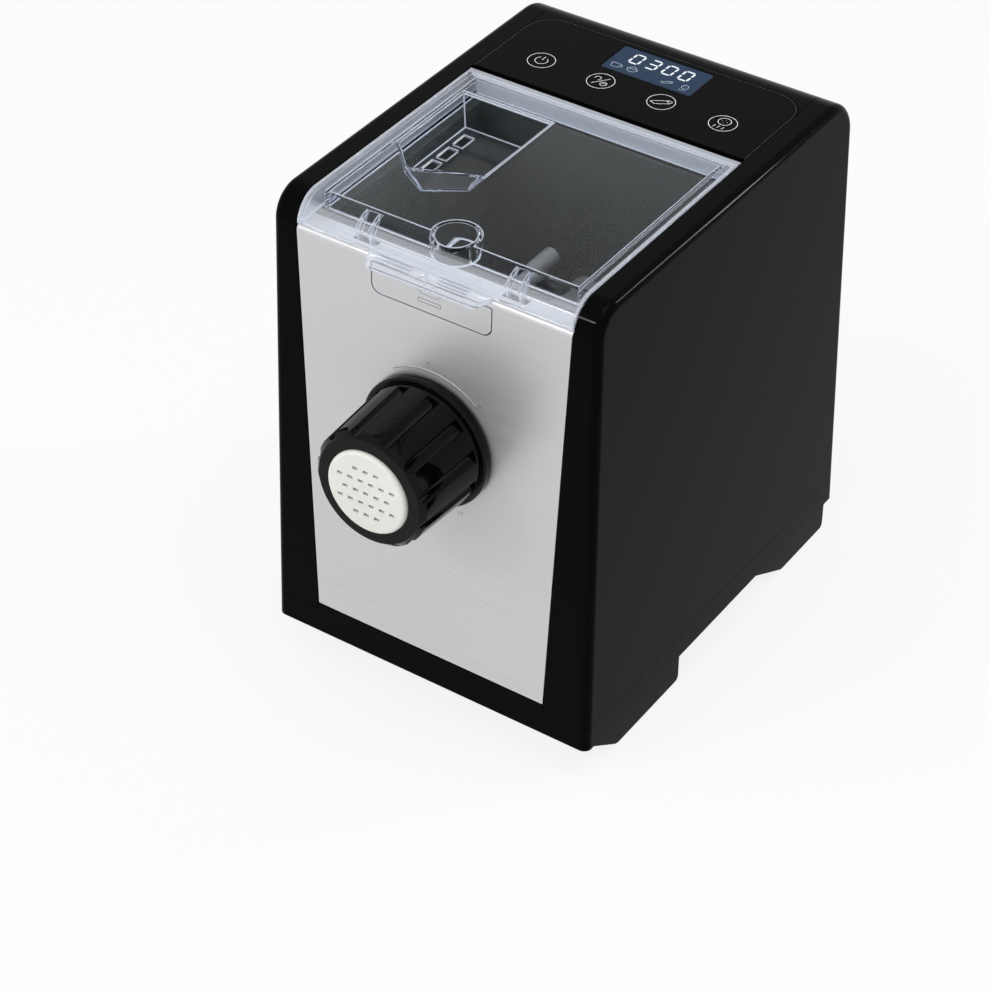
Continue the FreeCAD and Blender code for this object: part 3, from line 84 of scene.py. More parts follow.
class SteelLook(bpy.types.PropertyGroup):
    colour: bpy.props.FloatVectorProperty(
        name="Steel", description="Colour of the brushed steel",
        default=(0.56, 0.56, 0.575), subtype="COLOR", min=0.0, max=1.0)
    roughness: bpy.props.FloatProperty(
        name="Roughness", description="Mean roughness of the brushing",
        default=0.36, min=0.0, max=1.0, subtype="FACTOR")
    mark_grey: bpy.props.FloatVectorProperty(
        name="Printed grey", description="Colour of the marks printed on the steel",
        default=(0.10, 0.10, 0.11), subtype="COLOR", min=0.0, max=1.0)
    metal: bpy.props.FloatProperty(
        name="Metal share", description="Share of mirror metal in the brushed steel",
        default=0.62, min=0.0, max=1.0, subtype="FACTOR")
    arrow_height: bpy.props.FloatProperty(
        name="Arrow height", description="Height of the printed opening arrow above the table",
        default=278.5 * MM, unit="LENGTH")
    arc_radius: bpy.props.FloatProperty(
        name="Turn arc", description="Radius of the arc embossed round the nozzle",
        default=43.0 * MM, unit="LENGTH")


class ChamberLook(bpy.types.PropertyGroup):
    # Painted shade: the chamber's colour darkens from the rim colour to the depth colour, as shade falls
    # deeper in the hollow.
    upper: bpy.props.FloatVectorProperty(
        name="Chamber rim", description="Colour of the mixing chamber at its rim",
        default=(0.048, 0.054, 0.053), subtype="COLOR", min=0.0, max=1.0)
    lower: bpy.props.FloatVectorProperty(
        name="Chamber depth", description="Colour of the mixing chamber deep down",
        default=(0.002, 0.005, 0.009), subtype="COLOR", min=0.0, max=1.0)
    # Painted shade: up to this height above the underside the chamber keeps its darkest colour.
    painted_shade_height: bpy.props.FloatProperty(
        name="Dark height", description="Height above the chamber's underside that is still fully dark",
        default=50.0 * MM, min=0.0, unit="LENGTH")
    tool: bpy.props.FloatVectorProperty(
        name="Tool grey", description="Colour of the paddle and the feed screw",
        default=(0.15, 0.155, 0.16), subtype="COLOR", min=0.0, max=1.0)
    disc: bpy.props.FloatVectorProperty(
        name="Disc white", description="Colour of the shaping disc",
        default=(0.68, 0.67, 0.63), subtype="COLOR", min=0.0, max=1.0)


class LidLook(bpy.types.PropertyGroup):
    tint: bpy.props.FloatVectorProperty(
        name="Clear plastic", description="Tint of the clear lid",
        default=(0.93, 0.955, 0.99), subtype="COLOR", min=0.0, max=1.0)
    haze: bpy.props.FloatVectorProperty(
        name="Haze", description="Colour of the lid's hazy rim and edges",
        default=(0.42, 0.47, 0.58), subtype="COLOR", min=0.0, max=1.0)
    bend: bpy.props.FloatProperty(
        name="Refraction", description="Refractive index of the clear plastic",
        default=1.18, min=1.0, max=2.0)
    edge_round: bpy.props.FloatProperty(
        name="Edge round", description="Radius of the lid's moulded edges",
        default=0.5 * MM, min=0.0, unit="LENGTH")
    shadow_clear: bpy.props.FloatProperty(
        name="Clear in shadow", description="Share of lamp light that passes straight through the lid",
        default=0.88, min=0.0, max=1.0, subtype="FACTOR")
    # Partly haze and partly painted highlight: the pale rounded edges stand in for the bright lines that
    # light draws along clear plastic.
    edge_highlight_milk: bpy.props.FloatProperty(
        name="Edge haze", description="Pale haze in the lid's rounded edges",
        default=0.62, min=0.0, max=1.0, subtype="FACTOR")
    rim_milk: bpy.props.FloatProperty(
        name="Rim haze", description="Pale haze in the lid's outer rim and tab",
        default=0.34, min=0.0, max=1.0, subtype="FACTOR")
    lip_share: bpy.props.FloatProperty(
        name="Lip haze", description="Haze of the rolled front lip, as a share of the rim's",
        default=0.45, min=0.0, max=1.0, subtype="FACTOR")
    tab_reach: bpy.props.FloatProperty(
        name="Tab reach", description="How far the finger tab stands out in front",
        default=10.0 * MM, unit="LENGTH")
    tab_fall: bpy.props.FloatProperty(
        name="Tab fall", description="How far the finger tab's top drops towards its tip",
        default=4.4 * MM, unit="LENGTH")
    pocket_left: bpy.props.FloatProperty(
        name="Pocket left", description="From the lid's left edge to the water pocket",
        default=13.6 * MM, unit="LENGTH")
    pocket_rear: bpy.props.FloatProperty(
        name="Pocket rear", description="From the lid's back edge to the water pocket",
        default=23.0 * MM, unit="LENGTH")
    pocket_depth: bpy.props.FloatProperty(
        name="Pocket depth", description="From the lid's top to the middle of the pocket's floor",
        default=21.1 * MM, unit="LENGTH")
    rim_width: bpy.props.FloatProperty(
        name="Rim width", description="Width of the lid's hazy outer rim",
        default=7.0 * MM, min=0.0, unit="LENGTH")


class MarksLook(bpy.types.PropertyGroup):
    ink: bpy.props.FloatVectorProperty(
        name="Mark white", description="Colour of the printed touch marks",
        default=(0.86, 0.86, 0.88), subtype="COLOR", min=0.0, max=1.0)
    icon_radius: bpy.props.FloatProperty(
        name="Touch mark radius", description="Radius of the ring round each touch mark",
        default=7.9 * MM, unit="LENGTH")
    icon_scale: bpy.props.FloatProperty(
        name="Touch mark size", description="Size of the drawing inside each ring",
        default=1.22, min=0.1)
    icon_pitch: bpy.props.FloatProperty(
        name="Touch mark pitch", description="Distance between neighbouring touch marks",
        default=39.0 * MM, unit="LENGTH")
    icon_row: bpy.props.FloatProperty(
        name="Touch mark row", description="Where the row of touch marks lies, front to back",
        default=196.5 * MM - BODY_CENTRE, unit="LENGTH")
    line: bpy.props.FloatProperty(
        name="Line width", description="Width of the printed lines",
        default=0.36 * MM, unit="LENGTH")
    corner: bpy.props.FloatProperty(
        name="Panel corner", description="Radius of the touch panel's rear corners",
        default=18.0 * MM, unit="LENGTH")
    digit_height: bpy.props.FloatProperty(
        name="Digit height", description="Height of the display's digits",
        default=10.8 * MM, unit="LENGTH")
    digit_shift: bpy.props.FloatProperty(
        name="Digit shift", description="How far the digits stand right of the window's middle",
        default=0.6 * MM, unit="LENGTH")
    digit_rise: bpy.props.FloatProperty(
        name="Digit rise", description="How far the digits stand behind the window's middle",
        default=4.0 * MM, unit="LENGTH")
    symbol_drop: bpy.props.FloatProperty(
        name="Symbol drop", description="How far the small symbols stand in front of the middle",
        default=7.6 * MM, unit="LENGTH")
    symbol_size: bpy.props.FloatProperty(
        name="Symbol size", description="Size of the small symbols against the touch marks",
        default=0.68, min=0.1)
    display_blue: bpy.props.FloatVectorProperty(
        name="Display ground", description="Colour of the display behind its digits",
        default=(0.011, 0.024, 0.050), subtype="COLOR", min=0.0, max=1.0)


class StageLook(bpy.types.PropertyGroup):
    azimuth: bpy.props.FloatProperty(
        name="Azimuth", description="Camera's turn round the machine from straight in front",
        default=math.radians(33.7), subtype="ANGLE")
    elevation: bpy.props.FloatProperty(
        name="Elevation", description="Camera's angle above the horizon",
        default=math.radians(38.5), subtype="ANGLE")
    roll: bpy.props.FloatProperty(
        name="Roll", description="Camera's tilt about its own axis",
        default=math.radians(0.5), subtype="ANGLE")
    distance: bpy.props.FloatProperty(
        name="Distance", description="Camera's distance from its aim",
        default=1725.7 * MM, unit="LENGTH")
    lens: bpy.props.FloatProperty(
        name="Lens", description="Focal length in millimetres on a 36 mm wide sensor",
        default=110.4)
    aim: bpy.props.FloatVectorProperty(
        name="Aim", description="Point that the camera is built round",
        default=(0.0, 26.8 * MM, 147.9 * MM), subtype="TRANSLATION")
    slide: bpy.props.FloatVectorProperty(
        name="Slide", description="Camera's step to its own right and up from the aim",
        size=2, default=(-40.2 * MM, -63.4 * MM), subtype="TRANSLATION")
    floor_size: bpy.props.FloatProperty(
        name="Floor", description="Width of the pale floor",
        default=8.0, unit="LENGTH")
    floor_white: bpy.props.FloatProperty(
        name="Floor white", description="Share of plain white in the floor as the camera sees it",
        default=0.85, min=0.0, max=1.0, subtype="FACTOR")
    fill: bpy.props.FloatProperty(
        name="Fill light", description="Brightness of the surroundings as matt surfaces see them",
        default=0.35, min=0.0)


# Shader building


def new_material(name):
    material = bpy.data.materials.new(name)
    material.use_nodes = True
    tree = material.node_tree
    return material, tree, tree.nodes["Principled BSDF"]


def add_node(tree, kind, **values):
    """Adds a shader node and sets its sockets or settings by name."""
    made = tree.nodes.new(kind)
    for key, value in values.items():
        if key in made.inputs:
            made.inputs[key].default_value = value
        else:
            setattr(made, key, value)
    return made


def object_coordinates(tree, scale=(1.0, 1.0, 1.0)):
    place = add_node(tree, "ShaderNodeTexCoord")
    mapping = add_node(tree, "ShaderNodeMapping")
    mapping.inputs["Scale"].default_value = scale
    tree.links.new(place.outputs["Object"], mapping.inputs["Vector"])
    return mapping.outputs["Vector"]


def noise(tree, vector, scale, detail=3.0, roughness=0.5):
    made = add_node(tree, "ShaderNodeTexNoise", Scale=scale, Detail=detail, Roughness=roughness)
    tree.links.new(vector, made.inputs["Vector"])
    return made.outputs["Fac"]


def remap(tree, value, low, high, start=0.35, end=0.65):
    """Stretches a value from start..end, at first the usual spread of noise, to low..high."""
    made = add_node(tree, "ShaderNodeMapRange")
    made.inputs["From Min"].default_value = start
    made.inputs["From Max"].default_value = end
    made.inputs["To Min"].default_value = low
    made.inputs["To Max"].default_value = high
    tree.links.new(value, made.inputs["Value"])
    return made.outputs["Result"]


def blend_colours(tree, factor, first, second):
    """Colour between two, by a factor; the node's colour sockets share their names with others."""
    made = add_node(tree, "ShaderNodeMix", data_type="RGBA")
    for socket in made.inputs:
        if socket.name == "A" and socket.type == "RGBA":
            socket.default_value = (*first, 1.0)
        if socket.name == "B" and socket.type == "RGBA":
            socket.default_value = (*second, 1.0)
    tree.links.new(factor, made.inputs["Factor"])
    for socket in made.outputs:
        if socket.type == "RGBA":
            return socket


def bump(tree, shader, height, strength, distance):
    made = add_node(tree, "ShaderNodeBump")
    made.inputs["Strength"].default_value = strength
    made.inputs["Distance"].default_value = distance
    tree.links.new(height, made.inputs["Height"])
    tree.links.new(made.outputs["Normal"], shader.inputs["Normal"])


def lighter(colour, step):
    """Colour scaled by a step, with a small lift so that near-black changes too."""
    return tuple(min(1.0, channel * step + 0.0015 * (step - 1.0)) for channel in colour)


def moulded_plastic(name, colour, low, high, specular=0.5, grain=900.0, depth=0.02, cloud=14.0):
    """Plastic with slow tone changes, uneven gloss and a fine moulded grain."""
    material, tree, shader = new_material(name)
    vector = object_coordinates(tree)
    slow = noise(tree, vector, cloud, 4.0)
    tree.links.new(blend_colours(tree, slow, lighter(colour, 0.85), lighter(colour, 1.18)),
                   shader.inputs["Base Color"])
    tree.links.new(remap(tree, noise(tree, vector, 60.0, 5.0), low, high), shader.inputs["Roughness"])
    shader.inputs["Specular IOR Level"].default_value = specular
    bump(tree, shader, noise(tree, vector, grain, 2.0), depth, 0.0002)
    return material


def polished_black(name, look, specular):
    """Mirror-gloss moulding: faint flow waves, a little uneven gloss and fine dust."""
    material, tree, shader = new_material(name)
    vector = object_coordinates(tree)
    dust = add_node(tree, "ShaderNodeTexVoronoi", Scale=420.0)
    tree.links.new(vector, dust.inputs["Vector"])
    specks = remap(tree, dust.outputs["Distance"], 1.0, 0.0, 0.0, 0.035)
    black = tuple(look.black)
    tree.links.new(blend_colours(tree, specks, black, lighter(black, 1.5)), shader.inputs["Base Color"])
    gloss = look.gloss
    tree.links.new(remap(tree, noise(tree, vector, 35.0, 5.0), gloss * 0.8, gloss * 1.5),
                   shader.inputs["Roughness"])
    shader.inputs["Specular IOR Level"].default_value = specular
    bump(tree, shader, noise(tree, vector, 22.0, 2.0), 0.02, 0.001)
    return material


def brushed_metal(name, colour, roughness, scale, streak=0.12, metallic=1.0):
    """Brushed along X: long fine streaks in tone, gloss and height."""
    material, tree, shader = new_material(name)
    vector = object_coordinates(tree, scale)
    fine = noise(tree, vector, 6.0, 6.0, 0.75)
    broad = noise(tree, object_coordinates(tree, (1.2, 1.2, 5.0)), 5.0, 3.0)
    tree.links.new(blend_colours(tree, fine, lighter(colour, 1.0 - streak), lighter(colour, 1.0 + streak)),
                   shader.inputs["Base Color"])
    mixed = add_node(tree, "ShaderNodeMath", operation="ADD")
    tree.links.new(remap(tree, fine, -0.07, 0.07), mixed.inputs[0])
    tree.links.new(remap(tree, broad, roughness - 0.04, roughness + 0.04), mixed.inputs[1])
    tree.links.new(mixed.outputs[0], shader.inputs["Roughness"])
    shader.inputs["Metallic"].default_value = metallic
    bump(tree, shader, fine, 0.12, 0.0001)
    return material


def clear_plastic(name, look, haze):
    """Clear moulding that refracts, lets light through, and is hazy where haze(tree, vector) says."""
    material, tree, shader = new_material(name)
    vector = object_coordinates(tree)
    clear = haze(tree, vector)
    tree.links.new(blend_colours(tree, clear, tuple(look.haze), tuple(look.tint)),
                   shader.inputs["Base Color"])
    tree.links.new(remap(tree, noise(tree, vector, 40.0, 4.0), 0.015, 0.05), shader.inputs["Roughness"])
    tree.links.new(clear, shader.inputs["Transmission Weight"])
    shader.inputs["IOR"].default_value = look.bend
    path = add_node(tree, "ShaderNodeLightPath")
    open_share = add_node(tree, "ShaderNodeMath", operation="MULTIPLY_ADD")
    open_share.inputs[1].default_value = -look.shadow_clear
    open_share.inputs[2].default_value = 1.0
    tree.links.new(path.outputs["Is Shadow Ray"], open_share.inputs[0])
    tree.links.new(open_share.outputs[0], shader.inputs["Alpha"])
    bump(tree, shader, noise(tree, vector, 14.0, 2.0), 0.03, 0.001)
    return material


def edge_highlight_haze(look):
    """Clear share of the rounded edges, a little uneven along them; the pale rest is partly haze and partly
    painted highlight for the bright lines along clear edges.
    """
    def clear_share(tree, vector):
        clear = 1.0 - look.edge_highlight_milk
        uneven = 0.12
        return remap(tree, noise(tree, vector, 55.0, 2.0), clear - uneven, clear + uneven)
    return clear_share


def rim_haze(look, high):
    """Clear share of the lid: full inside, less in the rim along its sides, back and front."""
    def clear_share(tree, vector):
        parts = add_node(tree, "ShaderNodeSeparateXYZ")
        tree.links.new(vector, parts.inputs[0])
        across = add_node(tree, "ShaderNodeMath", operation="ABSOLUTE")
        tree.links.new(parts.outputs["X"], across.inputs[0])
        inner = high.x - look.rim_width
        sides = remap(tree, across.outputs[0], 0.0, look.rim_milk, inner, inner + MM)
        inner = high.y - look.rim_width
        back = remap(tree, parts.outputs["Y"], 0.0, look.rim_milk, inner, inner + MM)
        inner = PANEL_LOW.y + 2 * look.rim_width
        front = remap(tree, parts.outputs["Y"], look.lip_share * look.rim_milk, 0.0, inner - MM, inner)
        widest = add_node(tree, "ShaderNodeMath", operation="MAXIMUM")
        tree.links.new(sides, widest.inputs[0])
        tree.links.new(back, widest.inputs[1])
        either = add_node(tree, "ShaderNodeMath", operation="MAXIMUM")
        tree.links.new(widest.outputs[0], either.inputs[0])
        tree.links.new(front, either.inputs[1])
        clear = add_node(tree, "ShaderNodeMath", operation="SUBTRACT")
        clear.inputs[0].default_value = 1.0
        tree.links.new(either.outputs[0], clear.inputs[1])
        return clear.outputs[0]
    return clear_share


def chamber_satin_painted_shade(name, upper, lower, top, bottom):
    """Satin moulding with painted shade: its colour darkens towards the bottom of a deep hollow, where less
    light falls.
    """
    material, tree, shader = new_material(name)
    vector = object_coordinates(tree)
    parts = add_node(tree, "ShaderNodeSeparateXYZ")
    tree.links.new(vector, parts.inputs[0])
    uneven = add_node(tree, "ShaderNodeMath", operation="MULTIPLY_ADD")
    uneven.inputs[1].default_value = 0.03
    tree.links.new(noise(tree, vector, 18.0, 4.0), uneven.inputs[0])
    tree.links.new(parts.outputs["Z"], uneven.inputs[2])
    # Painted shade: the colour blends from the dark depth colour to the rim colour with height, made a
    # little uneven by noise.
    tree.links.new(blend_colours(tree, remap(tree, uneven.outputs[0], 0.0, 1.0, bottom, top), lower, upper),
                   shader.inputs["Base Color"])
    tree.links.new(remap(tree, noise(tree, vector, 60.0, 5.0), 0.2, 0.34), shader.inputs["Roughness"])
    shader.inputs["Specular IOR Level"].default_value = 0.03
    bump(tree, shader, noise(tree, vector, 500.0, 2.0), 0.01, 0.0002)
    return material


def ink(name, colour, glow=0.0):
    """Screen-printed ink with a slightly uneven cover."""
    material, tree, shader = new_material(name)
    vector = object_coordinates(tree)
    tone = noise(tree, vector, 700.0, 3.0)
    shades = blend_colours(tree, tone, lighter(colour, 0.9), lighter(colour, 1.06))
    tree.links.new(shades, shader.inputs["Base Color"])
    tree.links.new(remap(tree, tone, 0.3, 0.5), shader.inputs["Roughness"])
    shader.inputs["Specular IOR Level"].default_value = 0.08
    if glow:
        tree.links.new(shades, shader.inputs["Emission Color"])
        shader.inputs["Emission Strength"].default_value = glow
    return material


def paint_node(node, material):
    """Gives a CAD node a material and leaves its mesh alone."""
    slots = NODES[node].material_slots
    for slot in slots:
        slot.material = material
    if not slots:
        NODES[node].data.materials.append(material)


# Mesh making


def clear_selection():
    if bpy.context.object and bpy.context.object.mode != "OBJECT":
        bpy.ops.object.mode_set(mode="OBJECT")
    bpy.ops.object.select_all(action="DESELECT")


def choose(*objects):
    clear_selection()
    for one in objects:
        one.select_set(True)
    bpy.context.view_layer.objects.active = objects[0]


def settle(piece):
    """Puts a piece's place into its mesh."""
    choose(piece)
    bpy.ops.object.transform_apply(location=True, rotation=True, scale=True)
    return piece


def finish_piece(piece, material, body, edges=None):
    piece.data.materials.clear()
    piece.data.materials.append(material)
    if edges:
        piece.data.materials.append(edges)
    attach(piece, body)
    return piece


def weigh_long_edges(piece, angle, narrowest):
    """Marks for rounding the sharp edges that bound only large faces, away from the fine ribs."""
    bpy.ops.object.mode_set(mode="EDIT")
    bpy.ops.mesh.select_mode(type="EDGE")
    bpy.ops.mesh.select_all(action="DESELECT")
    bpy.ops.mesh.edges_select_sharp(sharpness=math.radians(angle))
    bpy.ops.object.mode_set(mode="OBJECT")
    mesh = piece.data
    narrow = set()
    for face in mesh.polygons:
        longest = max((mesh.vertices[a].co - mesh.vertices[b].co).length for a, b in face.edge_keys)
        if face.area < longest * narrowest:
            narrow.update(face.edge_keys)
    weights = mesh.attributes.new("bevel_weight_edge", "FLOAT", "EDGE")
    for edge, weight in zip(mesh.edges, weights.data):
        weight.value = 1.0 if edge.select and edge.key not in narrow else 0.0


def smooth_skin(node, body, material, radius, segments=2, angle=30.0, edges=None):
    """Merged copy of a CAD node with its edges rounded and its curved faces shaded smooth."""
    source = NODES[node]
    copy = bpy.data.objects.new(node + "_skin", source.data.copy())
    bpy.context.scene.collection.objects.link(copy)
    choose(copy)
    bpy.ops.object.mode_set(mode="EDIT")
    bpy.ops.mesh.select_all(action="SELECT")
    bpy.ops.mesh.remove_doubles(threshold=0.002 * MM)
    bpy.ops.mesh.dissolve_limited(angle_limit=math.radians(0.5))
    bpy.ops.object.mode_set(mode="OBJECT")
    for face in copy.data.polygons:
        face.material_index = 0
    if edges:
        copy.data.materials.clear()
        copy.data.materials.append(material)
        copy.data.materials.append(edges)
    if radius > 0:
        if edges:
            weigh_long_edges(copy, angle, 1.5 * radius)
        bevel = copy.modifiers.new("edges", "BEVEL")
        bevel.width = radius
        bevel.segments = segments
        bevel.limit_method = "WEIGHT" if edges else "ANGLE"
        bevel.angle_limit = math.radians(angle)
        bevel.use_clamp_overlap = not edges
        bevel.harden_normals = False
        bevel.material = 1 if edges else -1
        bpy.ops.object.modifier_apply(modifier=bevel.name)
    bpy.ops.object.shade_smooth_by_angle(angle=math.radians(angle))
    even = copy.modifiers.new("even", "WEIGHTED_NORMAL")
    even.mode = "FACE_AREA_WITH_ANGLE"
    even.weight = 90
    even.keep_sharp = True
    bpy.ops.object.modifier_apply(modifier=even.name)
    indices = [face.material_index for face in copy.data.polygons]
    finish_piece(copy, material, body, edges)
    for face, index in zip(copy.data.polygons, indices):
        face.material_index = index if edges else 0
    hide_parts(node)
    return copy


def tube_object(name, lines, radius):
    """Thin round bars along lines of points, each with a flag that says whether it closes."""
    curve = bpy.data.curves.new(name, "CURVE")
    curve.dimensions = "3D"
    curve.bevel_depth = radius
    curve.bevel_resolution = 2
    curve.use_fill_caps = True
    for points, closed in lines:
        spline = curve.splines.new("POLY")
        spline.points.add(len(points) - 1)
        for point, place in zip(spline.points, points):
            point.co = (*place, 1.0)
        spline.use_cyclic_u = closed
    piece = bpy.data.objects.new(name, curve)
    bpy.context.scene.collection.objects.link(piece)
    choose(piece)
    bpy.ops.object.convert(target="MESH")
    return settle(bpy.context.object)


def stroke_object(name, strokes, width, height):
    """Printed lines: each stroke is a list of points in millimetres and whether it closes."""
    curve = bpy.data.curves.new(name, "CURVE")
    curve.dimensions = "3D"
    curve.bevel_depth = 0.5    # each point's radius brings this down to half the line's width
    curve.bevel_resolution = 1
    curve.use_fill_caps = True
    for points, closed in strokes:
        spline = curve.splines.new("POLY")
        spline.points.add(len(points) - 1)
        for point, (x, y) in zip(spline.points, points):
            point.co = (x * MM, y * MM, 0.0, 1.0)
            point.radius = width * MM
        spline.use_cyclic_u = closed
    piece = bpy.data.objects.new(name, curve)
    bpy.context.scene.collection.objects.link(piece)
    choose(piece)
    bpy.ops.object.convert(target="MESH")
    piece = bpy.context.object
    piece.scale = (1.0, 1.0, height / width)
    return settle(piece)


def filled_object(name, outlines, height):
    """Flat printed shapes from closed outlines in millimetres."""
    curve = bpy.data.curves.new(name, "CURVE")
    curve.dimensions = "2D"
    curve.fill_mode = "BOTH"
    curve.extrude = height * MM / 2
    for points in outlines:
        spline = curve.splines.new("POLY")
        spline.points.add(len(points) - 1)
        for point, (x, y) in zip(spline.points, points):
            point.co = (x * MM, y * MM, 0.0, 1.0)
        spline.use_cyclic_u = True
    piece = bpy.data.objects.new(name, curve)
    bpy.context.scene.collection.objects.link(piece)
    choose(piece)
    bpy.ops.object.convert(target="MESH")
    return bpy.context.object


def arc(cx, cy, radius, start, end, steps=24):
    """Points along an arc, its angles in degrees."""
    points = []
    for i in range(steps + 1):
        turn = math.radians(start + (end - start) * i / steps)
        points.append((cx + radius * math.cos(turn), cy + radius * math.sin(turn)))
    return points


def circle(cx, cy, radius, steps=48):
    return arc(cx, cy, radius, 0.0, 360.0 * (steps - 1) / steps, steps - 1)


def lay_on_top(piece, x, y, z):
    piece.location = (x, y, z)
    return settle(piece)


def front_lean():
    """Angle by which the steel front leans back from upright."""
    return math.atan2(FRONT_SETBACK, FRONT_RISE)


def front_surface(z):
    """Where the steel's outer face is, front to back, at a height."""
    return PANEL_LOW.y + (z - PANEL_LOW.z) * math.tan(front_lean())


def lay_on_front(piece, x, z, proud):
    lean = front_lean()
    piece.matrix_world = Matrix.Translation((x, front_surface(z) - proud, z)) @ Matrix.Rotation(
        math.pi / 2 - lean, 4, "X")
    return settle(piece)


class PASTA_OT_housing(bpy.types.Operator):
    """Polished black shells, tray, back and control panel"""
    bl_idname = "pasta.housing"
    bl_label = "Housing"

    def execute(self, context):
        look = context.scene.pasta_housing
        black = polished_black("gloss black", look, look.specular)
        for node in ("right_side_shell", "left_side_shell", "base_tray", "rear_cover", "control_panel"):
            smooth_skin(node, "housing", black, look.edge_round)
        rubber = moulded_plastic("rubber", (0.02, 0.02, 0.02), 0.65, 0.85, specular=0.3, grain=700.0,
                                 depth=0.25)
        paint_node("rubber_feet", rubber)
        gland = moulded_plastic("gland", (0.012, 0.012, 0.012), 0.45, 0.6, specular=0.4)
        paint_node("cord_gland", gland)
        inner = moulded_plastic("inner black", (0.012, 0.012, 0.013), 0.3, 0.5, specular=0.4)
        paint_node("front_bulkhead", inner)
        return {"FINISHED"}


class PASTA_OT_front(bpy.types.Operator):
    """Brushed steel front and the press plate let into it"""
    bl_idname = "pasta.front"
    bl_label = "Steel front"

    def execute(self, context):
        look = context.scene.pasta_steel
        brushing = (1.6, 90.0, 320.0)
        steel = brushed_metal("brushed steel", tuple(look.colour), look.roughness, brushing,
                              metallic=look.metal)
        smooth_skin("front_panel", "housing", steel, 0.12 * MM)
        smooth_skin("release_button", "release_button", steel, 0.15 * MM)
        return {"FINISHED"}


class PASTA_OT_chamber(bpy.types.Operator):
    """Mixing chamber, paddle, feed screw, tube and seal"""
    bl_idname = "pasta.chamber"
    bl_label = "Mixing chamber"

    def execute(self, context):
        look = context.scene.pasta_chamber
        low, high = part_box("mixing_chamber")
        # The chamber and the tube get painted shade, darker towards the chamber's bottom.
        satin = chamber_satin_painted_shade("satin grey painted shade", tuple(look.upper), tuple(look.lower), high.z,
                              low.z + look.painted_shade_height)
        smooth_skin("mixing_chamber", "housing", satin, 0.6 * MM)
        smooth_skin("extrusion_tube", "housing", satin, 0.3 * MM)
        tool = moulded_plastic("tool grey", tuple(look.tool), 0.3, 0.45, grain=450.0, depth=0.1)
        smooth_skin("mixing_paddle", "drive", tool, 0.4 * MM)
        smooth_skin("extrusion_screw", "drive", tool, 0.0)
        paint_node("shaft_seal", moulded_plastic("seal", (0.03, 0.03, 0.03), 0.5, 0.7, specular=0.3))
        return {"FINISHED"}


# Water pocket's corners in millimetres from its rear left corner, at the lid's top and at its floor
POCKET_TOP = ((0.9, -63.6), (0.9, -0.9), (60.1, -0.9), (60.1, -67.3), (20.0, -83.0))
POCKET_FLOOR = ((4.8, -61.4), (4.8, -4.8), (42.2, -4.8), (42.2, -56.6), (22.0, -71.0))


class PASTA_OT_lid(bpy.types.Operator):
    """Clear lid with its water pocket"""
    bl_idname = "pasta.lid"
    bl_label = "Clear lid"

    def execute(self, context):
        look = context.scene.pasta_lid
        low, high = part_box("lid")
        clear = clear_plastic("clear plastic", look, rim_haze(look, high))
        # The rounded edges get a paler, hazier clear plastic: partly haze, partly painted highlight.
        edges = clear_plastic("clear plastic edge highlight", look, edge_highlight_haze(look))
        smooth_skin("lid", "lid", clear, look.edge_round, edges=edges)
        self.tab_shade_lines(look, low)
        self.pocket_highlight_lines(look, low, high)
        return {"FINISHED"}

    def tab_shade_lines(self, look, low):
        """Raised lines and a small arrow head on the finger tab, along its slope, in dark ink: painted
        shade for the dark lines that the tab's clear moulded ribs show.
        """
        strokes = [([(-4.4, -3.2), (0.0, 1.4), (4.4, -3.2)], True)]
        for step in range(3):
            strokes.append(([(-31.0, 2.6 - 2.2 * step), (-9.0, 2.6 - 2.2 * step)], False))
        for step in range(4):
            strokes.append(([(8.0, 3.2 - 2.0 * step), (26.0, 3.2 - 2.0 * step)], False))
        lines = stroke_object("tab_shade_lines", strokes, width=0.42, height=0.3)
        slope = math.atan2(look.tab_fall, look.tab_reach)
        middle = Vector((-1.0 * MM, low.y + look.tab_reach / 2, PANEL_HIGH.z + 1.45 * MM))
        lines.matrix_world = Matrix.Translation(middle) @ Matrix.Rotation(slope, 4, "X")
        settle(lines)
        # Painted shade: the dark ink stands in for the shade lines of the clear ribs.
        finish_piece(lines, ink("tab painted shade line", (0.20, 0.23, 0.29)), "lid")

    def pocket_highlight_lines(self, look, low, high):
        """Painted highlight: pale lines in the walls of the water pocket, where its moulded corners catch
        the light.
        """
        left = low.x + look.pocket_left
        rear = high.y - look.pocket_rear
        brim, sole = high.z - 0.9 * MM, high.z - look.pocket_depth
        top = [Vector((left + x * MM, rear + y * MM, brim)) for x, y in POCKET_TOP]
        floor = [Vector((left + x * MM, rear + y * MM, sole)) for x, y in POCKET_FLOOR]
        lines = [(floor, True)]
        for upper, lower in zip(top, floor):
            lines.append(([lower, upper], False))
        piece = tube_object("pocket_highlight_lines", lines, 0.34 * MM)
        # Painted highlight: pale ink where the pocket's corners catch the light.
        finish_piece(piece, ink("pocket painted highlight", lighter(tuple(look.haze), 1.35)), "lid")


class PASTA_OT_nozzle(bpy.types.Operator):
    """Fluted locking ring and the white shaping disc"""
    bl_idname = "pasta.nozzle"
    bl_label = "Nozzle"

    def execute(self, context):
        look = context.scene.pasta_housing
        ring = polished_black("ring black", look, look.ring_specular)
        smooth_skin("locking_ring", "locking_ring", ring, 0.8 * MM, 3)
        white = moulded_plastic("die white", tuple(context.scene.pasta_chamber.disc), 0.32, 0.48,
                                specular=0.45, grain=600.0, depth=0.08)
        smooth_skin("shaping_disc", "locking_ring", white, 0.15 * MM)
        return {"FINISHED"}


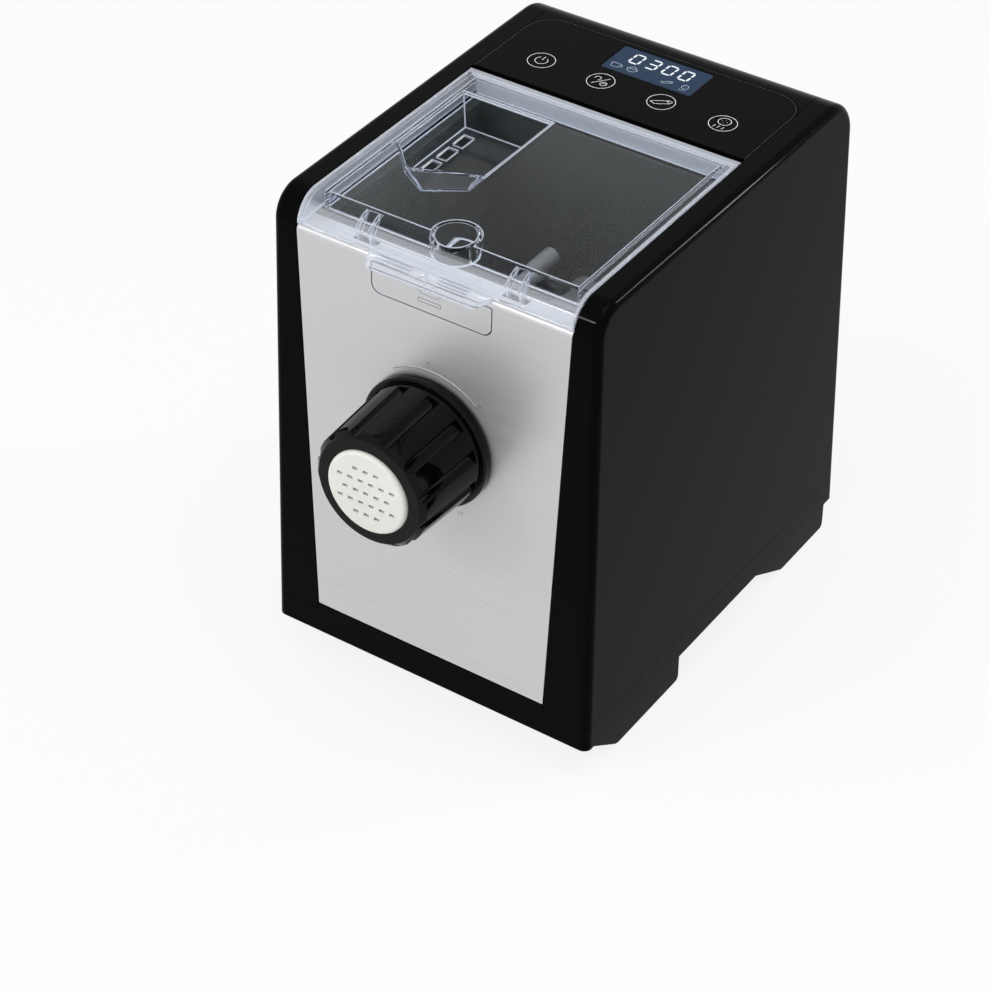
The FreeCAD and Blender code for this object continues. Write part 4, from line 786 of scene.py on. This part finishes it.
class PASTA_OT_inside(bpy.types.Operator):
    """Gears, shafts, motor, boards and fasteners"""
    bl_idname = "pasta.inside"
    bl_label = "Inside"

    def execute(self, context):
        turned = brushed_metal("turned steel", (0.60, 0.60, 0.61), 0.3, (90.0, 4.0, 90.0), streak=0.08)
        for node in ("drive_shaft", "intermediate_axle", "motor_pinion", "motor_shaft", "touch_springs",
                     "gearbox_screws", "rear_cover_screws"):
            paint_node(node, turned)
        gears = moulded_plastic("natural gear", (0.72, 0.71, 0.65), 0.4, 0.55, specular=0.4)
        for node in ("output_gear", "intermediate_gear", "lid_switch_plunger"):
            paint_node(node, gears)
        box = moulded_plastic("gearbox grey", (0.12, 0.12, 0.125), 0.45, 0.65, specular=0.35,
                              grain=350.0, depth=0.2)
        for node in ("gearbox_housing", "gearbox_cover"):
            paint_node(node, box)
        dark = moulded_plastic("dark moulding", (0.015, 0.015, 0.016), 0.4, 0.6, specular=0.35)
        for node in ("cooling_fan", "lid_switch"):
            paint_node(node, dark)
        board = moulded_plastic("board green", (0.012, 0.07, 0.03), 0.3, 0.5, grain=260.0,
                                depth=0.15, cloud=60.0)
        for node in ("power_board", "display_board"):
            paint_node(node, board)
        paint_node("shaft_bushes", brushed_metal("bronze", (0.50, 0.33, 0.17), 0.4, (60.0, 60.0, 60.0)))
        sheet = brushed_metal("zinc sheet", (0.50, 0.51, 0.52), 0.45, (12.0, 30.0, 12.0))
        for node in ("gearbox_bracket", "motor"):
            paint_node(node, sheet)
        return {"FINISHED"}


def touch_strokes(kind):
    """Line drawings inside the four rings: power, mixing, sheet dough and pressing."""
    if kind == "power":
        return [(arc(0, 0, 3.0, 125, 415), False), ([(0, 0.6), (0, 3.9)], False)]
    if kind == "mix":
        return [(arc(-2.4, 1.5, 1.5, -60.0, 200.0), False), (circle(2.4, -1.6, 1.6, 20), True),
                ([(-2.9, -3.7), (2.9, 3.7)], False), ([(1.4, -1.2), (3.6, -1.2)], False)]
    if kind == "sheet":
        edge = [(-4.6, -1.9), (-3.2, -0.6), (2.6, 2.9), (4.6, 2.4), (3.9, 0.6), (-1.8, -2.9), (-4.6, -1.9)]
        return [(edge, False), ([(2.6, 2.9), (2.2, 1.6), (3.9, 0.6)], False)]
    drops = []
    for x in (-2.2, 0.0, 2.2):
        drops.append(([(x, -2.6), (x - 0.5, -4.6)], False))
    dots = []
    for x, y in ((-1.3, 1.6), (1.3, 1.6), (0.0, 2.9), (0.0, 0.4)):
        dots.append(([(x - 0.1, y), (x + 0.1, y)], False))
    return [(circle(0.0, 1.6, 3.0, 28), True)] + dots + drops


SEGMENTS = {"0": "abcdef", "3": "abcdg"}


def segment_outline(name, height):
    """One bar of a digit as a six-cornered outline; the digit's centre is at zero."""
    half = height / 2.0
    wide = height * 0.27
    thick = height * 0.055
    trim = height * 0.03
    flat = {"a": half - thick, "g": 0.0, "d": -half + thick}
    if name in flat:
        y = flat[name]
        left, right = -wide + trim, wide - trim
        return [(left, y), (left + thick, y + thick), (right - thick, y + thick), (right, y),
                (right - thick, y - thick), (left + thick, y - thick)]
    x = wide if name in "bc" else -wide
    low, high = (trim, half - thick - trim) if name in "bf" else (-half + thick + trim, -trim)
    return [(x, low), (x + thick, low + thick), (x + thick, high - thick), (x, high),
            (x - thick, high - thick), (x - thick, low + thick)]


class PASTA_OT_marks(bpy.types.Operator):
    """Touch marks, display digits and the marks printed on the steel"""
    bl_idname = "pasta.marks"
    bl_label = "Printed marks"

    def execute(self, context):
        look = context.scene.pasta_marks
        # Painted light: the printed marks are given a faint glow, so they stay bright however the lamps
        # fall.
        white = ink("mark white", tuple(look.ink), 0.12)
        kinds = ("power", "mix", "sheet", "press")
        for index, kind in enumerate(kinds):
            x = (index - (len(kinds) - 1) / 2) * look.icon_pitch
            strokes = [(circle(0.0, 0.0, look.icon_radius / MM), True)]
            for points, closed in touch_strokes(kind):
                strokes.append(([(a * look.icon_scale, b * look.icon_scale) for a, b in points], closed))
            piece = stroke_object("touch_" + kind, strokes, look.line / MM, height=0.06)
            lay_on_top(piece, x, look.icon_row, TOP + PRINT_LIFT)
            finish_piece(piece, white, "housing")
        self.display(look)
        self.panel_edge_highlight(look)
        self.steel_marks(context.scene.pasta_steel)
        return {"FINISHED"}

    def display(self, look):
        ground = ink("display ground", tuple(look.display_blue), 0.5)
        paint_node("display_window", ground)
        lit = ink("display lit", (0.66, 0.69, 0.74), 0.32)
        faint = ink("display faint", (0.42, 0.50, 0.62), 0.4)
        centre = (WINDOW_LOW + WINDOW_HIGH) / 2
        height = look.digit_height / MM
        pitch, slant = 0.98 * height, 0.06
        outlines = []
        for index, digit in enumerate("0300"):
            shift = (index - 1.5) * pitch
            for name in SEGMENTS[digit]:
                outlines.append([(x + shift + y * slant, y) for x, y in segment_outline(name, height)])
        digits = filled_object("display_digits", outlines, height=0.06)
        lay_on_top(digits, centre.x + look.digit_shift, centre.y + look.digit_rise,
                   WINDOW_HIGH.z + 0.03 * MM)
        finish_piece(digits, lit, "housing")
        small = []
        for x, kind in ((-22.5, "cup"), (-12.0, "bowl"), (10.8, "sheet"), (22.0, "press")):
            for points, closed in self.small_marks(kind):
                size = look.symbol_size
                small.append(([(x + a * size, b * size) for a, b in points], closed))
        symbols = stroke_object("display_symbols", small, width=0.3, height=PRINT_HEIGHT)
        lay_on_top(symbols, centre.x, centre.y - look.symbol_drop, WINDOW_HIGH.z + PRINT_LIFT)
        finish_piece(symbols, faint, "housing")

    def panel_edge_highlight(self, look):
        """Painted highlight: a grey hairline where the touch panel meets the shells, where its bevelled
        edge catches the light.
        """
        low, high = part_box("control_panel")
        half = high.x / MM - 0.4
        front, rear = low.y / MM, high.y / MM - 0.4
        corner = look.corner / MM
        points = [(-half, front)] + arc(-half + corner, rear - corner, corner, 180.0, 90.0, 12)
        points += arc(half - corner, rear - corner, corner, 90.0, 0.0, 12) + [(half, front)]
        piece = stroke_object("panel_edge_highlight", [(points, False)], width=0.16, height=0.06)
        lay_on_top(piece, 0.0, 0.0, TOP)
        # Painted highlight: grey ink for the light caught by the panel's edge.
        finish_piece(piece, ink("panel painted highlight", (0.12, 0.12, 0.125)), "housing")

    def small_marks(self, kind):
        if kind == "cup":
            return [([(-4, 3), (-3, -3), (3, -3), (4, 3), (-4, 3)], False),
                    (arc(4.2, 0.4, 2.0, -90, 90, 8), False)]
        if kind == "bowl":
            return [(arc(0, 2, 4.6, 180, 360, 14), False), ([(-5.2, 2), (5.2, 2)], False),
                    (arc(0, 2, 3.2, 0, 180, 10), False)]
        return touch_strokes(kind)

    def steel_marks(self, look):
        grey = ink("printed grey", tuple(look.mark_grey))
        head = [(-6.5, 5.0), (-6.5, 6.6), (-9.0, 6.6), (-1.0, 13.0), (7.0, 6.6), (4.5, 6.6), (4.5, 5.0)]
        arrow = [([(-8.0, 0.0), (6.0, 0.0)], False), ([(-8.0, 2.1), (6.0, 2.1)], False),
                 ([(-8.0, 0.0), (-8.0, 2.1)], False), ([(6.0, 0.0), (6.0, 2.1)], False),
                 (head, True)]
        piece = stroke_object("opening_arrow", arrow, width=0.32, height=PRINT_HEIGHT)
        lay_on_front(piece, 0.0, look.arrow_height, PRINT_LIFT)
        finish_piece(piece, grey, "release_button")
        locks = []
        for x, z, open_lock in ((-1.4, 46.7, False), (30.4, 32.4, True), (20.0, -41.9, True)):
            case = [(x - 1.3, z - 1.1), (x + 1.3, z - 1.1), (x + 1.3, z + 0.7), (x - 1.3, z + 0.7)]
            locks.append((case, True))
            shift = 1.1 if open_lock else 0.0
            locks.append((arc(x + shift, z + 0.7, 0.9, 0.0, 180.0, 8), False))
        piece = stroke_object("turn_marks", locks, width=0.22, height=PRINT_HEIGHT)
        lay_on_front(piece, 0.0, NOZZLE_Z, PRINT_LIFT)
        finish_piece(piece, grey, "housing")
        steel = brushed_metal("embossed steel", tuple(look.colour), 0.3, (20.0, 20.0, 20.0))
        bow = arc(0.0, 0.0, look.arc_radius / MM, 124.0, 48.0)
        piece = stroke_object("turn_arc", [(bow, False)], width=0.9, height=0.45)
        lay_on_front(piece, 0.0, NOZZLE_Z, 0.0)
        finish_piece(piece, steel, "housing")


class PASTA_OT_stage(bpy.types.Operator):
    """Pale floor, soft lights, white surroundings and the camera"""
    bl_idname = "pasta.stage"
    bl_label = "Stage"

    def execute(self, context):
        look = context.scene.pasta_stage
        self.floor(look)
        self.world(context, look)
        self.lights()
        self.camera(context, look)
        context.scene.view_settings.view_transform = "Standard"
        return {"FINISHED"}

    def floor(self, look):
        """Pale floor that looks nearly white to the camera and in mirrors, and keeps a soft shadow."""
        clear_selection()
        bpy.ops.mesh.primitive_plane_add(size=look.floor_size, location=(0.0, 0.0, 0.0))
        floor = bpy.context.object
        floor.name = "floor"
        material, tree, shader = new_material("pale floor")
        vector = object_coordinates(tree)
        tone = noise(tree, vector, 3.0, 3.0)
        tree.links.new(blend_colours(tree, tone, (0.80, 0.80, 0.80), (0.83, 0.83, 0.83)),
                       shader.inputs["Base Color"])
        shader.inputs["Roughness"].default_value = 0.9
        shader.inputs["Specular IOR Level"].default_value = 0.1
        white = add_node(tree, "ShaderNodeEmission")
        white.inputs["Color"].default_value = (1.0, 1.0, 1.0, 1.0)
        pale = add_node(tree, "ShaderNodeMixShader")
        tree.links.new(self.seen_share(tree, look.floor_white), pale.inputs[0])
        tree.links.new(shader.outputs[0], pale.inputs[1])
        tree.links.new(white.outputs[0], pale.inputs[2])
        tree.links.new(pale.outputs[0], tree.nodes["Material Output"].inputs["Surface"])
        floor.data.materials.append(material)

    def seen_share(self, tree, share):
        """Share of plain white for rays from the camera, also by way of a mirror or through the lid."""
        path = add_node(tree, "ShaderNodeLightPath")
        straight = add_node(tree, "ShaderNodeMath", operation="MAXIMUM")
        tree.links.new(path.outputs["Is Camera Ray"], straight.inputs[0])
        tree.links.new(path.outputs["Is Transmission Ray"], straight.inputs[1])
        seen = add_node(tree, "ShaderNodeMath", operation="MAXIMUM")
        tree.links.new(straight.outputs[0], seen.inputs[0])
        tree.links.new(path.outputs["Is Glossy Ray"], seen.inputs[1])
        white = add_node(tree, "ShaderNodeMath", operation="MULTIPLY")
        white.inputs[1].default_value = share
        tree.links.new(seen.outputs[0], white.inputs[0])
        return white.outputs[0]

    def world(self, context, look):
        world = bpy.data.worlds.new("studio")
        context.scene.world = world
        world.use_nodes = True
        tree = world.node_tree
        fill = tree.nodes["Background"]
        fill.inputs["Color"].default_value = (0.98, 0.99, 1.0, 1.0)
        fill.inputs["Strength"].default_value = look.fill
        white = add_node(tree, "ShaderNodeBackground")
        white.inputs["Color"].default_value = (1.0, 1.0, 1.0, 1.0)
        pale = add_node(tree, "ShaderNodeMixShader")
        tree.links.new(self.seen_share(tree, 1.0), pale.inputs[0])
        tree.links.new(fill.outputs[0], pale.inputs[1])
        tree.links.new(white.outputs[0], pale.inputs[2])
        tree.links.new(pale.outputs[0], tree.nodes["World Output"].inputs["Surface"])

    def lights(self):
        """A broad lamp on the left, one overhead, and two small ones that draw lines in the gloss."""
        key = self.softbox("key", (-0.9, -1.9, 1.3), (0.0, 0.0, 0.15), width=2.7, height=2.3, power=36.0)
        key.visible_glossy = False
        self.softbox("overhead", (0.3, -0.2, 2.3), (0.0, 0.0, 0.2), width=1.5, height=1.2, power=20.0)
        self.softbox("glint", (-0.7, -1.5, 1.25), (0.0, 0.0, 0.2), width=0.12, height=0.12, power=4.0)
        self.softbox("edge", (1.25, 1.35, 0.95), (0.0, 0.05, 0.25), width=0.08, height=1.1, power=14.0)

    def softbox(self, name, place, target, width, height, power):
        data = bpy.data.lights.new(name, "AREA")
        data.shape = "RECTANGLE"
        data.size = width
        data.size_y = height
        data.energy = power
        lamp = bpy.data.objects.new(name, data)
        bpy.context.scene.collection.objects.link(lamp)
        lamp.location = place
        lamp.rotation_mode = "QUATERNION"
        lamp.rotation_quaternion = (Vector(target) - Vector(place)).to_track_quat("-Z", "Y")
        lamp.visible_transmission = False
        return lamp

    def camera(self, context, look):
        a, e, r = look.azimuth, look.elevation, look.roll
        back = Vector((math.sin(a) * math.cos(e), -math.cos(a) * math.cos(e), math.sin(e)))
        level = Vector((math.cos(a), math.sin(a), 0.0))
        rise = back.cross(level)
        right = level * math.cos(r) + rise * math.sin(r)
        up = rise * math.cos(r) - level * math.sin(r)
        data = bpy.data.cameras.new("camera")
        data.sensor_width = 36.0
        data.lens = look.lens
        data.dof.use_dof = False
        data.clip_end = 20.0
        camera = bpy.data.objects.new("camera", data)
        context.scene.collection.objects.link(camera)
        place = Vector(look.aim) + back * look.distance + right * look.slide[0] + up * look.slide[1]
        camera.matrix_world = Matrix((
            (right.x, up.x, back.x, place.x),
            (right.y, up.y, back.y, place.y),
            (right.z, up.z, back.z, place.z),
            (0.0, 0.0, 0.0, 1.0)))
        context.scene.camera = camera


class PASTA_PT_panel(bpy.types.Panel):
    """Shows each look's settings and a button for each operator"""
    bl_idname = "PASTA_PT_panel"
    bl_label = "Pasta Maker"
    bl_space_type = "VIEW_3D"
    bl_region_type = "UI"
    bl_category = "Pasta Maker"

    def draw(self, context):
        layout = self.layout
        for key, group in LOOKS.items():
            box = layout.box()
            look = getattr(context.scene, key)
            for prop in group.__annotations__:
                box.prop(look, prop)
        for operator in OPERATORS:
            layout.operator(operator.bl_idname)


LOOKS = {
    "pasta_housing": HousingLook, "pasta_steel": SteelLook, "pasta_chamber": ChamberLook,
    "pasta_lid": LidLook, "pasta_marks": MarksLook, "pasta_stage": StageLook,
}
OPERATORS = (
    PASTA_OT_stage, PASTA_OT_housing, PASTA_OT_front, PASTA_OT_chamber, PASTA_OT_lid, PASTA_OT_nozzle,
    PASTA_OT_inside, PASTA_OT_marks,
)


def register():
    for group in LOOKS.values():
        bpy.utils.register_class(group)
    for key, group in LOOKS.items():
        setattr(bpy.types.Scene, key, bpy.props.PointerProperty(type=group))
    for operator in OPERATORS:
        bpy.utils.register_class(operator)
    bpy.utils.register_class(PASTA_PT_panel)


def unregister():
    bpy.utils.unregister_class(PASTA_PT_panel)
    for operator in reversed(OPERATORS):
        bpy.utils.unregister_class(operator)
    for key, group in LOOKS.items():
        delattr(bpy.types.Scene, key)
        bpy.utils.unregister_class(group)


def main():
    register()
    bpy.ops.pasta.stage()
    bpy.ops.pasta.housing()
    bpy.ops.pasta.front()
    bpy.ops.pasta.chamber()
    bpy.ops.pasta.lid()
    bpy.ops.pasta.nozzle()
    bpy.ops.pasta.inside()
    bpy.ops.pasta.marks()


if __name__ == "__main__":
    main()
